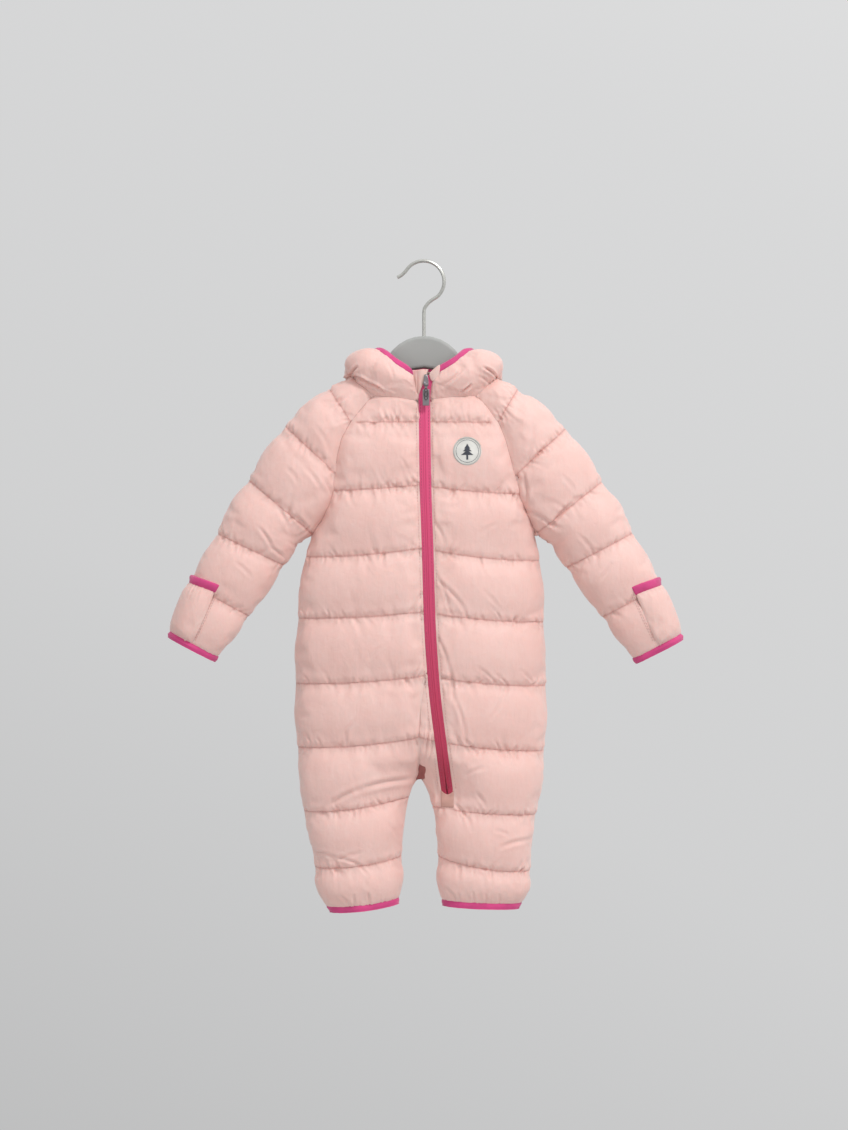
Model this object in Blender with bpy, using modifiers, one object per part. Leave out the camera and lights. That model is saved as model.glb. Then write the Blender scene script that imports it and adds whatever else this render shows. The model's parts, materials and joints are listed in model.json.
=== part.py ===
"""A padded baby snowsuit with a hood, hanging from a small flat hanger.

Every length is in millimetres and is turned into metres when a mesh is made. The frame has +X to the
wearer's left, +Y to the back and +Z up. The origin is under the crown of the hanger's hook, where the
hook bears on whatever carries it, so all of the part lies below or round it.
"""

import math
from bisect import bisect_right

import bmesh
import bpy
import numpy as np
from mathutils.bvhtree import BVHTree

MM = 0.001
SEAM = 0.3  # gap between two pieces along a seam
REST = 0.5  # gap between a piece and the one that it lies on
THIN = 2.6  # padded wall at its quilting and its seams
THINNEST = 1.3  # padded wall where it is pressed flat against another
PRESS_ROUNDS = 22
NECK_LOSS = 3.5  # how much lower the puffs next to the neck are
RIDGE_LOSS = 0.4  # share of the padding that is drawn flat along the top of a sleeve
PUFF = 9.0  # padded wall at the top of a puff
BINDING = 7.5  # width of the elastic bindings on the cuffs and the hems
HOOD_BINDING = 9.0
DRAWN_IN = 0.035  # share by which the elastic draws the open edge of a cuff or a hem together
CUFF_BAND = 5.0  # thickness of the bindings; the mitt's side of a cuff is thicker
HEM_BAND = 4.6
BAND = (2.6, 4.2, 2.6)  # thickness across a binding, which is rounded
SEAM_REACH = 24.0  # distance from a seam at which the padding is full again
HALVES = {"right": -1, "left": 1}  # the wearer's sides, and the sign of their X
ARMPIT_Z = -298.0
HIP_Z = -452.5  # where the centre seam leaves the zip
BODY_CORE = (0.0, 0.0, -450.0)  # a point inside the body
BEHIND = (0.0, 400.0, -350.0)  # a point behind the front


def table(columns, *rows):
    """Rows under named columns."""
    return {name: [row[k] for row in rows] for k, name in enumerate(columns.split())}


# Outer edge of the body on each side: the raglan seam down to the armpit, then the side seam.
SIDE = table(
    "z       right   left",
    (-148.2, -54.7, 57.0),
    (-174.0, -77.1, 79.0),
    (-194.0, -89.4, 88.0),
    (-219.0, -95.0, 95.0),
    (-250.0, -98.5, 103.0),
    (-266.0, -102.5, 108.0),
    (-286.0, -113.3, 116.5),
    (-298.0, -122.5, 122.5),
    (-331.0, -134.2, 129.8),
    (-384.0, -139.7, 133.1),
    (-437.0, -143.0, 134.6),
    (-481.0, -143.5, 136.4),
    (-534.0, -140.8, 134.2),
    (-560.0, -138.6, 132.0),
    (-595.0, -135.3, 126.5),
    (-622.0, -129.8, 122.1),
    (-648.0, -123.2, 118.8),
    (-683.0, -119.9, 117.7),
    (-701.0, -113.0, 110.0),
    (-708.0, -107.0, 104.5),
)

# The raglan seams of the back, which run up to the higher back of the neck.
BACK_RAGLAN = table(
    "z       right   left",
    (-122.0, -58.0, 59.5),
    (-150.0, -73.0, 74.5),
    (-175.0, -84.5, 85.5),
    (-200.0, -92.0, 92.5),
    (-225.0, -96.0, 97.5),
    (-250.0, -98.5, 103.0),
    (-266.0, -102.5, 108.0),
    (-286.0, -113.3, 116.5),
    (-298.0, -122.5, 122.5),
)

# Inner edge of each leg, from the crotch to the hem.
INSEAM = table(
    "z       right  left",
    (-562.5, -4.4, -4.4),
    (-572.0, -10.3, 0.0),
    (-586.0, -13.2, 3.3),
    (-613.0, -19.8, 11.0),
    (-640.0, -23.0, 14.0),
    (-675.0, -22.3, 13.4),
    (-701.0, -26.0, 17.5),
    (-708.0, -28.0, 21.0),
)

# The zip's right edge on the body. Its lower end leaves the centre for the left leg.
ZIP_EDGE = table(
    "z       x",
    (-154.5, -5.6),
    (-244.6, -4.4),
    (-310.6, -2.2),
    (-393.0, 0.2),
    (-442.6, 3.2),
    (-475.6, 6.0),
    (-508.6, 10.0),
    (-541.6, 14.6),
    (-574.6, 19.2),
    (-586.0, 20.8),
)
ZIP_WIDTH = 12.0
TAPE_Y = -0.6  # the tapes lie this far before the inner side of the walls
TAPE_THICK = (1.2, 1.2, 1.7)  # from the panel's edge to the teeth

# The centre front seam, which leaves the zip at the hip and runs straight down to the crotch.
CENTRE_SEAM = table(
    "z       x",
    (-452.5, 2.9),
    (-470.0, -0.6),
    (-486.0, -3.0),
    (-519.0, -4.4),
    (-562.5, -4.4),
)

# Half depths of the hollow: at the raglan seams, and at the fullest part of the body or leg.
DEPTH = table(
    "z       raglan  full",
    (-118.0, 15.0, 20.0),
    (-148.2, 20.0, 26.5),
    (-177.5, 25.0, 30.5),
    (-214.0, 27.0, 33.0),
    (-251.0, 24.0, 35.0),
    (-267.0, 20.5, 36.0),
    (-283.0, 14.0, 37.0),
    (-298.0, 0.0, 38.0),
    (-384.0, 0.0, 40.0),
    (-452.0, 0.0, 39.0),
    (-520.0, 0.0, 36.0),
    (-566.0, 0.0, 33.5),
    (-602.0, 0.0, 31.0),
    (-660.0, 0.0, 27.0),
    (-708.0, 0.0, 20.0),
)
FACES = {"front": (-1, 1.04), "back": (1, 0.94)}  # sign of Y, and the face's share of the half depth
CROTCH_Z = -562.5
CROTCH_ROUND = 62.0  # height over which the body's middle rounds under to the crotch
BACK_MIDDLE_X = -1.0
RIDGE_INSET = 5.0  # how far inside the silhouette the hollow ends along the top of a sleeve
SIDE_INSET = 4.0  # how far inside the silhouette the hollow ends at the side seams and the inseams

# Rows across the body, from the neck to the hems: where each meets the side seam or the raglan seam,
# where it meets the centre line or the inseam, how many cells deep the next stretch is, and whether
# the row is quilted or sewn. The back has rows of its own only above the armpit.
ROWS = table(
    "name        side_right side_left inner_right inner_left back_side back_inner cells sewn",
    ("neck", -148.2, -148.2, -154.5, -154.5, -122.0, -118.0, 2, True),
    ("yoke", -177.5, -177.5, -176.5, -176.5, -172.0, -168.0, 4, True),
    ("chest", -251.2, -255.0, -245.7, -245.7, None, -243.0, 3, True),
    ("armpit", -298.0, -298.0, -290.0, -290.0, None, None, 1, False),
    ("ribs", -324.5, -328.5, -314.4, -314.4, None, None, 4, True),
    ("waist", -390.9, -395.0, -383.2, -383.2, None, None, 4, True),
    ("hip", -462.4, -464.6, -452.5, -452.5, None, None, 4, True),
    ("seat", -532.3, -536.0, -519.0, -519.0, None, None, 2, True),
    ("crotch", -567.0, -567.0, -562.5, -562.5, None, None, 1, False),
    ("zip_end", -586.0, -588.0, -576.0, -583.0, None, None, 1, False),
    ("knee", -601.8, -605.2, -585.6, -596.6, None, None, 4, True),
    ("shin", -663.7, -667.7, -651.6, -651.6, None, None, 3, True),
    ("hem", -705.5, -701.5, -696.5, -698.5, None, None, 0, True),
)

# Sections of each sleeve from the cuff up: the silhouette's outer and lower points, the half depth of
# the hollow, the cells to the next section, and whether it is sewn. From the armpit up, the lower
# point runs along the raglan seams, whose rows the body gives.
SLEEVES = {
    "right": table(
        "name      outer_x outer_z inner_x inner_z depth cells sewn",
        ("cuff", -278.5, -404.5, -224.0, -433.5, 15.0, 4, True),
        ("wrist", -259.5, -350.5, -189.2, -389.8, 20.0, 4, True),
        ("elbow", -230.3, -296.3, -150.7, -333.7, 24.0, 3, True),
        ("under", -209.0, -256.0, -137.0, -309.0, 26.0, 1, False),
        ("armpit", -195.8, -236.0, None, None, 28.0, 4, True),
        ("upper", -154.5, -178.0, None, None, 30.0, 3, True),
        ("shoulder", -104.5, -138.0, None, None, 27.0, 2, True),
        ("neck", -78.1, -125.8, None, None, 21.0, 0, True),
    ),
    "left": table(
        "name      outer_x outer_z inner_x inner_z depth cells sewn",
        ("cuff", 282.0, -407.0, 227.5, -435.5, 15.0, 4, True),
        ("wrist", 263.0, -352.5, 193.6, -390.7, 20.0, 4, True),
        ("elbow", 232.5, -295.6, 153.5, -336.5, 24.0, 3, True),
        ("under", 212.0, -258.0, 138.5, -310.0, 26.0, 1, False),
        ("armpit", 198.5, -238.0, None, None, 28.0, 4, True),
        ("upper", 157.6, -181.0, None, None, 30.0, 3, True),
        ("shoulder", 103.5, -138.0, None, None, 27.0, 2, True),
        ("neck", 79.0, -126.5, None, None, 21.0, 0, True),
    ),
}

MITT_FIRST = 3  # columns of the sleeve, from each end of its row, that the mitt leaves bare
MITT_CLEAR = 0.13  # share of a cell that the mitt keeps clear of the cuff's binding and of its trim
MITT_TRIM = (0.08, 0.32, 0.56)  # places of the trim's rows, in cells above the wrist
MITT_EDGE = 1.8
MITT_PUFF = 2.4

# The hood, thrown back, by its way round half of the neck: where its rim lies, and the sheet's course
# between the neck seam and the rim in a plane that faces `turn` degrees from the front. Each pair is
# how far out of the neck and how far up the sheet then is.
HOOD = table(
    "way   turn   rim_x rim_y rim_z   out1 up1    out2 up2    out3 up3     out4 up4",
    (0.00, 0.0, 14.5, -29.5, -118.5, 1.5, 8.0, 3.0, 16.0, 3.5, 23.0, 3.0, 30.0),
    (0.16, 4.0, 31.0, -26.0, -109.0, 3.0, 7.5, 7.0, 17.0, 7.5, 28.0, 4.5, 37.0),
    (0.30, 34.0, 42.5, -14.0, -98.5, 2.5, 8.0, 9.0, 17.0, 11.0, 28.0, 5.0, 40.0),
    (0.42, 68.0, 47.0, -3.0, -97.0, 2.0, 8.5, 8.0, 16.0, 5.0, 24.0, -5.0, 30.0),
    (0.52, 90.0, 49.0, 8.0, -96.5, 2.0, 8.5, 8.0, 14.0, 2.0, 20.0, -11.0, 25.5),
    (0.66, 122.0, 47.5, 32.0, -98.0, 4.0, 10.5, 18.0, 3.0, 29.0, -13.0, 30.0, 9.0),
    (0.82, 158.0, 29.0, 60.0, -106.0, 6.5, 9.0, 24.0, -14.0, 56.0, -100.0, 71.0, -44.0),
    (1.00, 180.0, 0.0, 70.0, -111.0, 9.0, 12.0, 34.0, -76.0, 55.0, -134.0, 76.0, -60.0),
)
HOOD_SHARE = {"right": 1.0, "left": 0.93}
HOOD_RISE = {"right": 1.0, "left": 0.88}  # the left roll lies a little lower
HOOD_SPREAD = {"right": 1.0, "left": 1.8}  # how late the collar's edge leaves the zip
HOOD_PUFF = 6.5

# The largest folds pressed into the padding: the piece, the fold's ends, its width and its depth.
FOLDS = table(
    "piece          x0      z0      x1      z1      width depth",
    ("front_right", -103.0, -594.5, -11.0, -567.0, 9.0, 3.0),
    ("front_right", -118.0, -646.0, -40.0, -650.0, 9.0, 2.5),
    ("front_left", 12.0, -347.0, 46.0, -384.0, 10.0, 3.0),
    ("front_left", 30.0, -430.0, 34.0, -470.0, 9.0, 2.5),
    ("front_left", 70.0, -621.0, 118.0, -636.0, 10.0, 3.0),
    ("front_left", 30.0, -574.0, 66.0, -604.0, 9.0, 3.0),
)

HANGER_TOP = -80.8
HANGER_DEPTH = 12.0
HANGER_EDGE = 3.5  # radius of the plate's edges
CROWN_RADIUS = 46.0
REST_REACH = 116.0  # how far out the arms bear on the shoulders
HOOK_WIRE = 4.0
HOOK_RADIUS = 22.6  # to the middle of the wire
HOOK_SOCKET = 14.0  # depth that the wire enters the hanger

BADGE = {"x": 46.9, "z": -209.1, "radius": 15.8, "thick": 1.6, "rings": 3, "sides": 20}
GUARD_BACK = 3.6  # the guard lies this far behind the collar's inner side
GUARD_THICK = (1.8, 2.2, 2.4, 2.2, 1.8)
SLIDER = {"x": 2.2, "top": -125.5, "bottom": -138.5, "width": 8.4, "thick": 2.6}
TAB = {"length": 23.0, "width": 7.6, "thick": 1.8, "pin": 0.8, "eye": 1.9, "ears": 3.0, "clearance": 0.35}


def smooth(tab, key, column, at):
    """A column's value where the key column reaches `at`, on a curve that never overshoots a row."""
    keys, values = tab[key], tab[column]
    if keys[0] > keys[-1]:
        keys, values = keys[::-1], values[::-1]
    at = min(max(at, keys[0]), keys[-1])
    k = min(bisect_right(keys, at) - 1, len(keys) - 2)
    rises = [(values[n + 1] - values[n]) / (keys[n + 1] - keys[n]) for n in range(len(keys) - 1)]

    def slope(n):
        if n in (0, len(rises)):
            return rises[min(n, len(rises) - 1)]
        product = rises[n - 1] * rises[n]
        return 2 * product / (rises[n - 1] + rises[n]) if product > 0 else 0.0

    span = keys[k + 1] - keys[k]
    t = (at - keys[k]) / span
    start = values[k] * (1 + 2 * t) * (1 - t) ** 2 + slope(k) * span * t * (1 - t) ** 2
    return start + values[k + 1] * t * t * (3 - 2 * t) - slope(k + 1) * span * t * t * (1 - t)


def ease(low, high, at):
    """0 at low and beyond it, 1 at high and beyond it, and a smooth step between them."""
    t = min(max((at - low) / (high - low), 0.0), 1.0)
    return t * t * (3 - 2 * t)


def bulge(s, start, middle, end, crest, power=2.2, far_power=2.2):
    """A rounded section from one depth to another by way of a fuller crest."""
    if s < crest:
        return start + (middle - start) * (1 - (1 - s / crest) ** power) ** (1 / power)
    return end + (middle - end) * (1 - ((s - crest) / (1 - crest)) ** far_power) ** (1 / far_power)


def even(points, cells):
    """Points at equal steps along a polyline."""
    points = np.array(points, float)
    way = np.concatenate([[0.0], np.cumsum(np.linalg.norm(np.diff(points, axis=0), axis=1))])
    steps = np.linspace(0.0, way[-1], cells + 1)
    return np.stack([np.interp(steps, way, points[:, k]) for k in range(3)], axis=1)


def through(points, samples):
    """Points along a Catmull-Rom curve through the given ones."""
    points = np.array(points, float)
    padded = np.vstack([2 * points[0] - points[1], points, 2 * points[-1] - points[-2]])
    found = []
    for s in np.linspace(0.0, len(points) - 1, samples):
        k = min(int(s), len(points) - 2)
        t = s - k
        a, b, c, d = padded[k : k + 4]
        found.append(0.5 * (2 * b + (c - a) * t + (2 * a - 5 * b + 4 * c - d) * t**2
                            + (3 * b - a - 3 * c + d) * t**3))
    return np.array(found)


# ---------------------------------------------------------------- the body's form


def body_rows():
    """Every row of the body, with its place between two sewn rows, from 0 to 1."""
    levels = ("side_right", "side_left", "inner_right", "inner_left")
    rows = []
    for k, name in enumerate(ROWS["name"]):
        cells = max(ROWS["cells"][k], 1) if k < len(ROWS["name"]) - 1 else 1
        for c in range(cells):
            row = {"name": name if c == 0 else None, "sewn": ROWS["sewn"][k] and c == 0}
            nxt = min(k + 1, len(ROWS["name"]) - 1)
            for level in levels:
                row[level] = ROWS[level][k] + (ROWS[level][nxt] - ROWS[level][k]) * c / cells
            for side in HALVES:
                ends = [back_level(k, side, "side"), back_level(nxt, side, "side")]
                row["back_side_" + side] = ends[0] + (ends[1] - ends[0]) * c / cells
                ends = [back_level(k, side, "inner"), back_level(nxt, side, "inner")]
                row["back_inner_" + side] = ends[0] + (ends[1] - ends[0]) * c / cells
            rows.append(row)
    sewn = [n for n, row in enumerate(rows) if row["sewn"]]
    for n, row in enumerate(rows):
        before = max(k for k in sewn if k <= n)
        after = min(k for k in sewn if k >= n)
        top, low = rows[before]["side_right"], rows[after]["side_right"]
        row["phase"] = 0.0 if before == after else (row["side_right"] - top) / (low - top)
    return rows


def back_level(k, side, end):
    own = ROWS["back_" + end][k]
    return ROWS[f"{end}_{side}"][k] if own is None else own


def edge_x(side, face, z):
    """The inside of the wall at the raglan or side seam."""
    source = BACK_RAGLAN if face == "back" and z > ARMPIT_Z else SIDE
    inset = SIDE_INSET * (1 - ease(ARMPIT_Z - 27.0, ARMPIT_Z + 12.0, z))
    return smooth(source, "z", side, z) - HALVES[side] * inset


def inner_x(side, face, z):
    """The centre line above the crotch, and the inside of the wall at the inseam below it."""
    if z >= CROTCH_Z:
        if face == "back":
            return BACK_MIDDLE_X + (CENTRE_SEAM["x"][-1] - BACK_MIDDLE_X) * ease(ARMPIT_Z, CROTCH_Z, z)
        return smooth(ZIP_EDGE if z > HIP_Z else CENTRE_SEAM, "z", "x", z)
    inset = SIDE_INSET * (1 - ease(CROTCH_Z - 18.0, CROTCH_Z, z))
    return smooth(INSEAM, "z", side, z) + HALVES[side] * inset


def centre_depth(z):
    """Half depth of the hollow at the centre line: it rounds under to nothing at the crotch."""
    if z <= CROTCH_Z:
        return 0.0
    fall = max(0.0, (CROTCH_Z + CROTCH_ROUND - z) / CROTCH_ROUND)
    return smooth(DEPTH, "z", "full", z) * math.sqrt(1 - fall**2)


def body_point(side, face, row, f):
    """A point of the body's hollow, a share f of the way from the side to the centre or inseam."""
    level = "back_" if face == "back" else ""
    z_side, z_inner = row[f"{level}side_{side}"], row[f"{level}inner_{side}"]
    z = z_side + (z_inner - z_side) * f * f
    x_side, x_inner = edge_x(side, face, z_side), inner_x(side, face, z_inner)
    sign, share = FACES[face]
    edge = smooth(DEPTH, "z", "raglan", z_side)
    centre = centre_depth(z_inner) * share
    full = max(smooth(DEPTH, "z", "full", z) * share, edge, centre)
    crest = 0.5 + 0.46 * ease(CROTCH_Z, CROTCH_Z + CROTCH_ROUND, z_inner)
    cleft = ease(CROTCH_Z + CROTCH_ROUND, CROTCH_Z, z_inner) * ease(CROTCH_Z - 70, CROTCH_Z - 10, z_inner)
    depth = bulge(f, edge, full, centre, crest, far_power=2.2 - 0.85 * cleft)
    return np.array([x_side + (x_inner - x_side) * f, sign * depth, z])


def stretch(side, face, row, start, end, cells):
    """Points at even steps across the body between two shares of the way to its middle."""
    shares = 0.5 * (start + end) - 0.5 * (end - start) * np.cos(np.linspace(0, math.pi, 41))
    return even([body_point(side, face, row, f) for f in shares], cells)


def zip_shares(row, end_row):
    """Shares of the way across the left front at which the zip's two edges lie."""
    if row["inner_left"] < end_row["inner_left"]:
        row = end_row
    shares = []
    for offset in (ZIP_WIDTH, 0.0):
        f = 0.9
        for _ in range(12):
            z = body_point("left", "front", row, min(f, 1.0))[2]
            x_side = edge_x("left", "front", row["side_left"])
            x_inner = inner_x("left", "front", row["inner_left"])
            f = (smooth(ZIP_EDGE, "z", "x", z) + offset - x_side) / (x_inner - x_side)
        shares.append(min(f, 1.0))
    return shares


# ---------------------------------------------------------------- walls from grids of points


class Wall:
    """A cloth wall: a grid of points on its plain inner side and its thickness at each of them.

    The wall's outer side faces away from `core`. `keep` picks the cells that are cloth, `joins` is for
    pieces sewn edge to edge, and `closed` joins the last column to the first.
    """

    def __init__(self, name, points, thick, core, keep=None, joins=True, closed=False):
        self.name, self.points, self.thick = name, np.array(points, float), np.array(thick, float)
        rows, cols = self.thick.shape
        self.index = -np.ones((rows, cols), int)
        self.inner, self.depth, self.faces, self.joins = [], [], [], joins
        places = {}
        for i in range(rows - 1):
            for j in range(cols if closed else cols - 1):
                if keep and not keep(i, j):
                    continue
                corners = [(i, j), (i, (j + 1) % cols), (i + 1, (j + 1) % cols), (i + 1, j)]
                quad = [self.vertex(corner, places) for corner in corners]
                for face in ((quad[0], quad[1], quad[2]), (quad[0], quad[2], quad[3])):
                    if len(set(face)) == 3:
                        self.faces.append(face)
        self.inner, self.depth = np.array(self.inner), np.array(self.depth)
        self.faces = np.array(self.faces)
        self.normals = np.zeros_like(self.inner)
        corners = self.inner[self.faces]
        across = np.cross(corners[:, 1] - corners[:, 0], corners[:, 2] - corners[:, 0])
        if (across * (corners.mean(axis=1) - np.array(core))).sum() < 0:
            self.faces, across = self.faces[:, ::-1], -across
        for k in range(3):
            np.add.at(self.normals, self.faces[:, k], across)

    def vertex(self, corner, places):
        point = self.points[corner]
        key = tuple(np.round(point, 3))
        if key not in places:
            places[key] = len(self.inner)
            self.inner.append(point)
            self.depth.append(self.thick[corner])
        self.index[corner] = places[key]
        return places[key]

    def finish(self, shared):
        """Gives the wall its outer side, and draws its edges back by half of the seam's gap."""
        for k, point in enumerate(self.inner):
            if self.joins:
                self.normals[k] = shared[tuple(np.round(point, 2))]
        self.normals /= np.linalg.norm(self.normals, axis=1)[:, None]
        back = np.zeros_like(self.inner)
        for a, b, c in self.edges():
            along = self.inner[b] - self.inner[a]
            inward = np.cross(self.normals[a] + self.normals[b], along)
            inward /= np.linalg.norm(inward)
            for end in (a, b):
                back[end] += inward
        length = np.linalg.norm(back, axis=1)
        moved = length > 0
        scale = np.minimum(2.0 / np.maximum(length[moved], 1e-6), 2.0)
        back[moved] *= (scale / length[moved])[:, None]
        self.inner = self.inner + back * SEAM / 2
        self.pad()

    def pad(self):
        self.outer = self.inner + self.normals * self.depth[:, None]

    def edges(self):
        """Directed edges that have a face on one side only."""
        seen = {}
        for face in self.faces:
            for k in range(3):
                seen[(face[k], face[(k + 1) % 3])] = face[(k + 2) % 3]
        return [(a, b, c) for (a, b), c in seen.items() if (b, a) not in seen]

    def outer_grid(self):
        return self.outer[self.index]

    def solid(self):
        count = len(self.inner)
        faces = [tuple(int(v) + count for v in face) for face in self.faces]
        faces += [tuple(int(v) for v in face[::-1]) for face in self.faces]
        for a, b, _ in self.edges():
            a, b = int(a), int(b)
            faces += [(a, b, b + count), (a, b + count, a + count)]
        return np.vstack([self.inner, self.outer]), faces

    def build(self, material):
        return mesh_object(self.name, *self.solid(), material)


def press(walls):
    """Thins the padding wherever two pieces, or two parts of one, would push into each other."""
    for _ in range(PRESS_ROUNDS):
        solids = [wall.solid() for wall in walls]
        trees = [BVHTree.FromPolygons(points.tolist(), faces) for points, faces in solids]
        pressed = [set() for _ in walls]
        for a in range(len(walls)):
            for b in range(a, len(walls)):
                for one, two in trees[a].overlap(trees[b]):
                    first, second = solids[a][1][one], solids[b][1][two]
                    if a != b or not set(first) & set(second):
                        pressed[a].update(first)
                        pressed[b].update(second)
        for wall, corners in zip(walls, pressed):
            corners = sorted({corner % len(wall.inner) for corner in corners})
            wall.depth[corners] = THINNEST + (wall.depth[corners] - THINNEST) * 0.85
            wall.pad()
        if not any(pressed):
            return


def shared_normals(walls):
    """Directions of all the sheets that meet at a point, added up, so that their walls meet squarely."""
    shared = {}
    for wall in walls:
        if wall.joins:
            for point, normal in zip(wall.inner, wall.normals):
                key = tuple(np.round(point, 2))
                shared[key] = shared.get(key, 0) + normal
    return shared


def padding(phase, edge, puff=PUFF):
    """Thickness of a quilted wall: `phase` runs between two sewn rows and `edge` fades at a seam."""
    return THIN + (puff - THIN) * math.sin(math.pi * phase) ** 0.7 * edge


def fade(distance, reach, least):
    """How far padding has risen at a distance from a seam."""
    t = min(max(distance / reach, 0.0), 1.0)
    return least + (1 - least) * math.sqrt(1 - (1 - t) ** 2)


def folded(name, point, thick):
    """The thickness left where the largest folds press a piece's padding down."""
    for k, piece in enumerate(FOLDS["piece"]):
        if piece != name:
            continue
        start = np.array([FOLDS["x0"][k], FOLDS["z0"][k]])
        run = np.array([FOLDS["x1"][k], FOLDS["z1"][k]]) - start
        place = np.array([point[0], point[2]]) - start
        t = min(max(place @ run / (run @ run), 0.0), 1.0)
        away = np.linalg.norm(place - run * t) / FOLDS["width"][k]
        thick -= FOLDS["depth"][k] * math.exp(-away * away)
    return max(thick, THIN)


def steps(points):
    """Distances along a row of points from its first."""
    return np.concatenate([[0.0], np.cumsum(np.linalg.norm(np.diff(points, axis=0), axis=1))])


# ---------------------------------------------------------------- the cut pieces

CELLS = {"front": 9, "left_front": 8, "strip": 2, "back": 9, "sleeve": 7, "drop": 10}


def row_thick(name, row, points, near, far):
    """Thickness along a row; near and far are the least padding left at its two ends."""
    way = steps(points)
    yoke = ROWS["side_right"][1]
    puff = PUFF - NECK_LOSS * ease(yoke - 8.0, yoke + 12.0, row["side_right"])
    thick = []
    for point, s in zip(points, way):
        edge = fade(s, SEAM_REACH, near) * fade(way[-1] - s, SEAM_REACH, far)
        thick.append(folded(name, point, padding(row["phase"], edge, puff)))
    return thick


def is_leg(row):
    return row["inner_right"] <= CROTCH_Z


def side_padding(row, side):
    """Least padding along the side seam: none at the armpit, where the walls meet in a valley."""
    return 0.3 * ease(ARMPIT_Z, ARMPIT_Z - 50.0, row[f"side_{side}"])


def middle_padding(row, least):
    """Least padding along the front's centre line: none round the crotch."""
    return least * ease(45.0, 75.0, abs(row["inner_right"] - CROTCH_Z - 10.0))


def front_right(rows):
    points, thick = [], []
    for row in rows:
        line = stretch("right", "front", row, 0.0, 1.0, CELLS["front"])
        middle = middle_padding(row, 0.3 if is_leg(row) else 0.1)
        points.append(line)
        thick.append(row_thick("front_right", row, line, side_padding(row, "right"), middle))
    return Wall("front_right", points, thick, BODY_CORE)


def front_left(rows):
    """The left front, with the slit that the zip fills between its centre strip and the rest."""
    zip_end = next(n for n, row in enumerate(rows) if row["name"] == "zip_end")
    strip_top = next(n for n, row in enumerate(rows) if row["name"] == "hip")
    points, thick = [], []
    for row in rows:
        outer, inner = zip_shares(row, rows[zip_end])
        main = stretch("left", "front", row, 0.0, outer, CELLS["left_front"])
        strip = stretch("left", "front", row, inner, 1.0, CELLS["strip"])
        side = side_padding(row, "left")
        line = np.vstack([main, strip])
        points.append(line)
        if row["inner_left"] < rows[zip_end]["inner_left"]:
            thick.append(row_thick("front_left", row, line, side, middle_padding(row, 0.3)))
        else:
            main_thick = row_thick("front_left", row, main, side, 0.1)
            thick.append(main_thick + [padding(row["phase"], e, 5.0) for e in (0.1, 0.6, 0.0)])
    gap = CELLS["left_front"]

    def keep(i, j):
        return j < gap or (j == gap and i >= zip_end) or (j > gap and i >= strip_top)

    return Wall("front_left", points, thick, BODY_CORE, keep)


def back(rows):
    points, thick = [], []
    for row in rows:
        right = stretch("right", "back", row, 0.0, 1.0, CELLS["back"])
        left = stretch("left", "back", row, 0.0, 1.0, CELLS["back"])
        sides = [side_padding(row, side) for side in HALVES]
        middle = middle_padding(row, 0.3 if is_leg(row) else 0.75)
        thick.append(
            row_thick("back", row, right, sides[0], middle)
            + row_thick("back", row, left, sides[1], middle)[::-1]
        )
        points.append(np.vstack([right, left[::-1]]))
    middle = CELLS["back"]
    return Wall("back", points, thick, BODY_CORE, lambda i, j: j != middle)


def sleeve_sections(side, rows):
    """Each section of a sleeve: its row of points from the front seam over the top to the back seam."""
    form = SLEEVES[side]
    names = form["name"]
    raglan = [n for n, row in enumerate(rows) if row["side_right"] >= ARMPIT_Z][::-1]
    keys = [np.array([form["outer_x"][k], form["outer_z"][k]]) for k in range(len(names))]
    outer = through([(*key, d) for key, d in zip(keys, form["depth"])], 24 * (len(names) - 1) + 1)
    low = [(form["inner_x"][k], form["inner_z"][k], 0.0) for k in range(4)]
    armpit = rows[raglan[0]]
    low_end = (edge_x(side, "front", armpit["side_right"]), armpit["side_right"], 0.0)
    inner = through(low + [low_end], 24 * 4 + 1)
    sections, used = [], 0
    for k, name in enumerate(names):
        cells = max(form["cells"][k], 1)
        for c in range(cells if k < len(names) - 1 else 1):
            place = 24 * k + round(24 * c / cells)
            sewn = form["sewn"][k] and c == 0
            section = {"outer": outer[place][:2], "depth": outer[place][2], "sewn": sewn}
            if k < names.index("armpit"):
                section["low"] = inner[place][:2]
            else:
                section["row"] = rows[raglan[used]]
                used += 1
            section["name"] = name if c == 0 else None
            sections.append(section)
    sewn = [n for n, section in enumerate(sections) if section["sewn"]]
    for n, section in enumerate(sections):
        before, after = max(k for k in sewn if k <= n), min(k for k in sewn if k >= n)
        section["phase"] = 0.0 if before == after else (n - before) / (after - before)
        section["up"] = n
    return sections


def sleeve_line(side, section, cells):
    """One section of a sleeve, at even steps from the front seam over the top to the back seam."""
    outer, depth = section["outer"], section["depth"]
    halves = []
    for face in ("front", "back"):
        sign, share = FACES[face]
        if "row" in section:
            edge_point = body_point(side, face, section["row"], 0.0)
            low, edge, inset, crest = edge_point[[0, 2]], abs(edge_point[1]), 0.0, 0.36
        else:
            low, edge, inset, crest = section["low"], 0.0, SIDE_INSET, 0.5
        run = outer - low
        toward = run / np.linalg.norm(run)
        start, end = low + toward * inset, outer - toward * section["inset"]
        full = max(depth * share, edge)
        line = []
        for s in 0.5 - 0.5 * np.cos(np.linspace(0, math.pi, 41)):
            x, z = start + (end - start) * s
            line.append((x, sign * bulge(s, edge, full, 0.0, crest, 2.1), z))
        halves.append(even(line, cells))
    return np.vstack([halves[0], halves[1][::-1][1:]])


def under_mitt(section, sections):
    """How far in the sheet lies at the sleeve's top: less where the mitt presses its padding down."""
    wrist = next(n for n, other in enumerate(sections) if other["name"] == "wrist")
    return RIDGE_INSET - 0.5 * (1 - ease(wrist - 1, wrist + 2, section["up"]))


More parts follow.
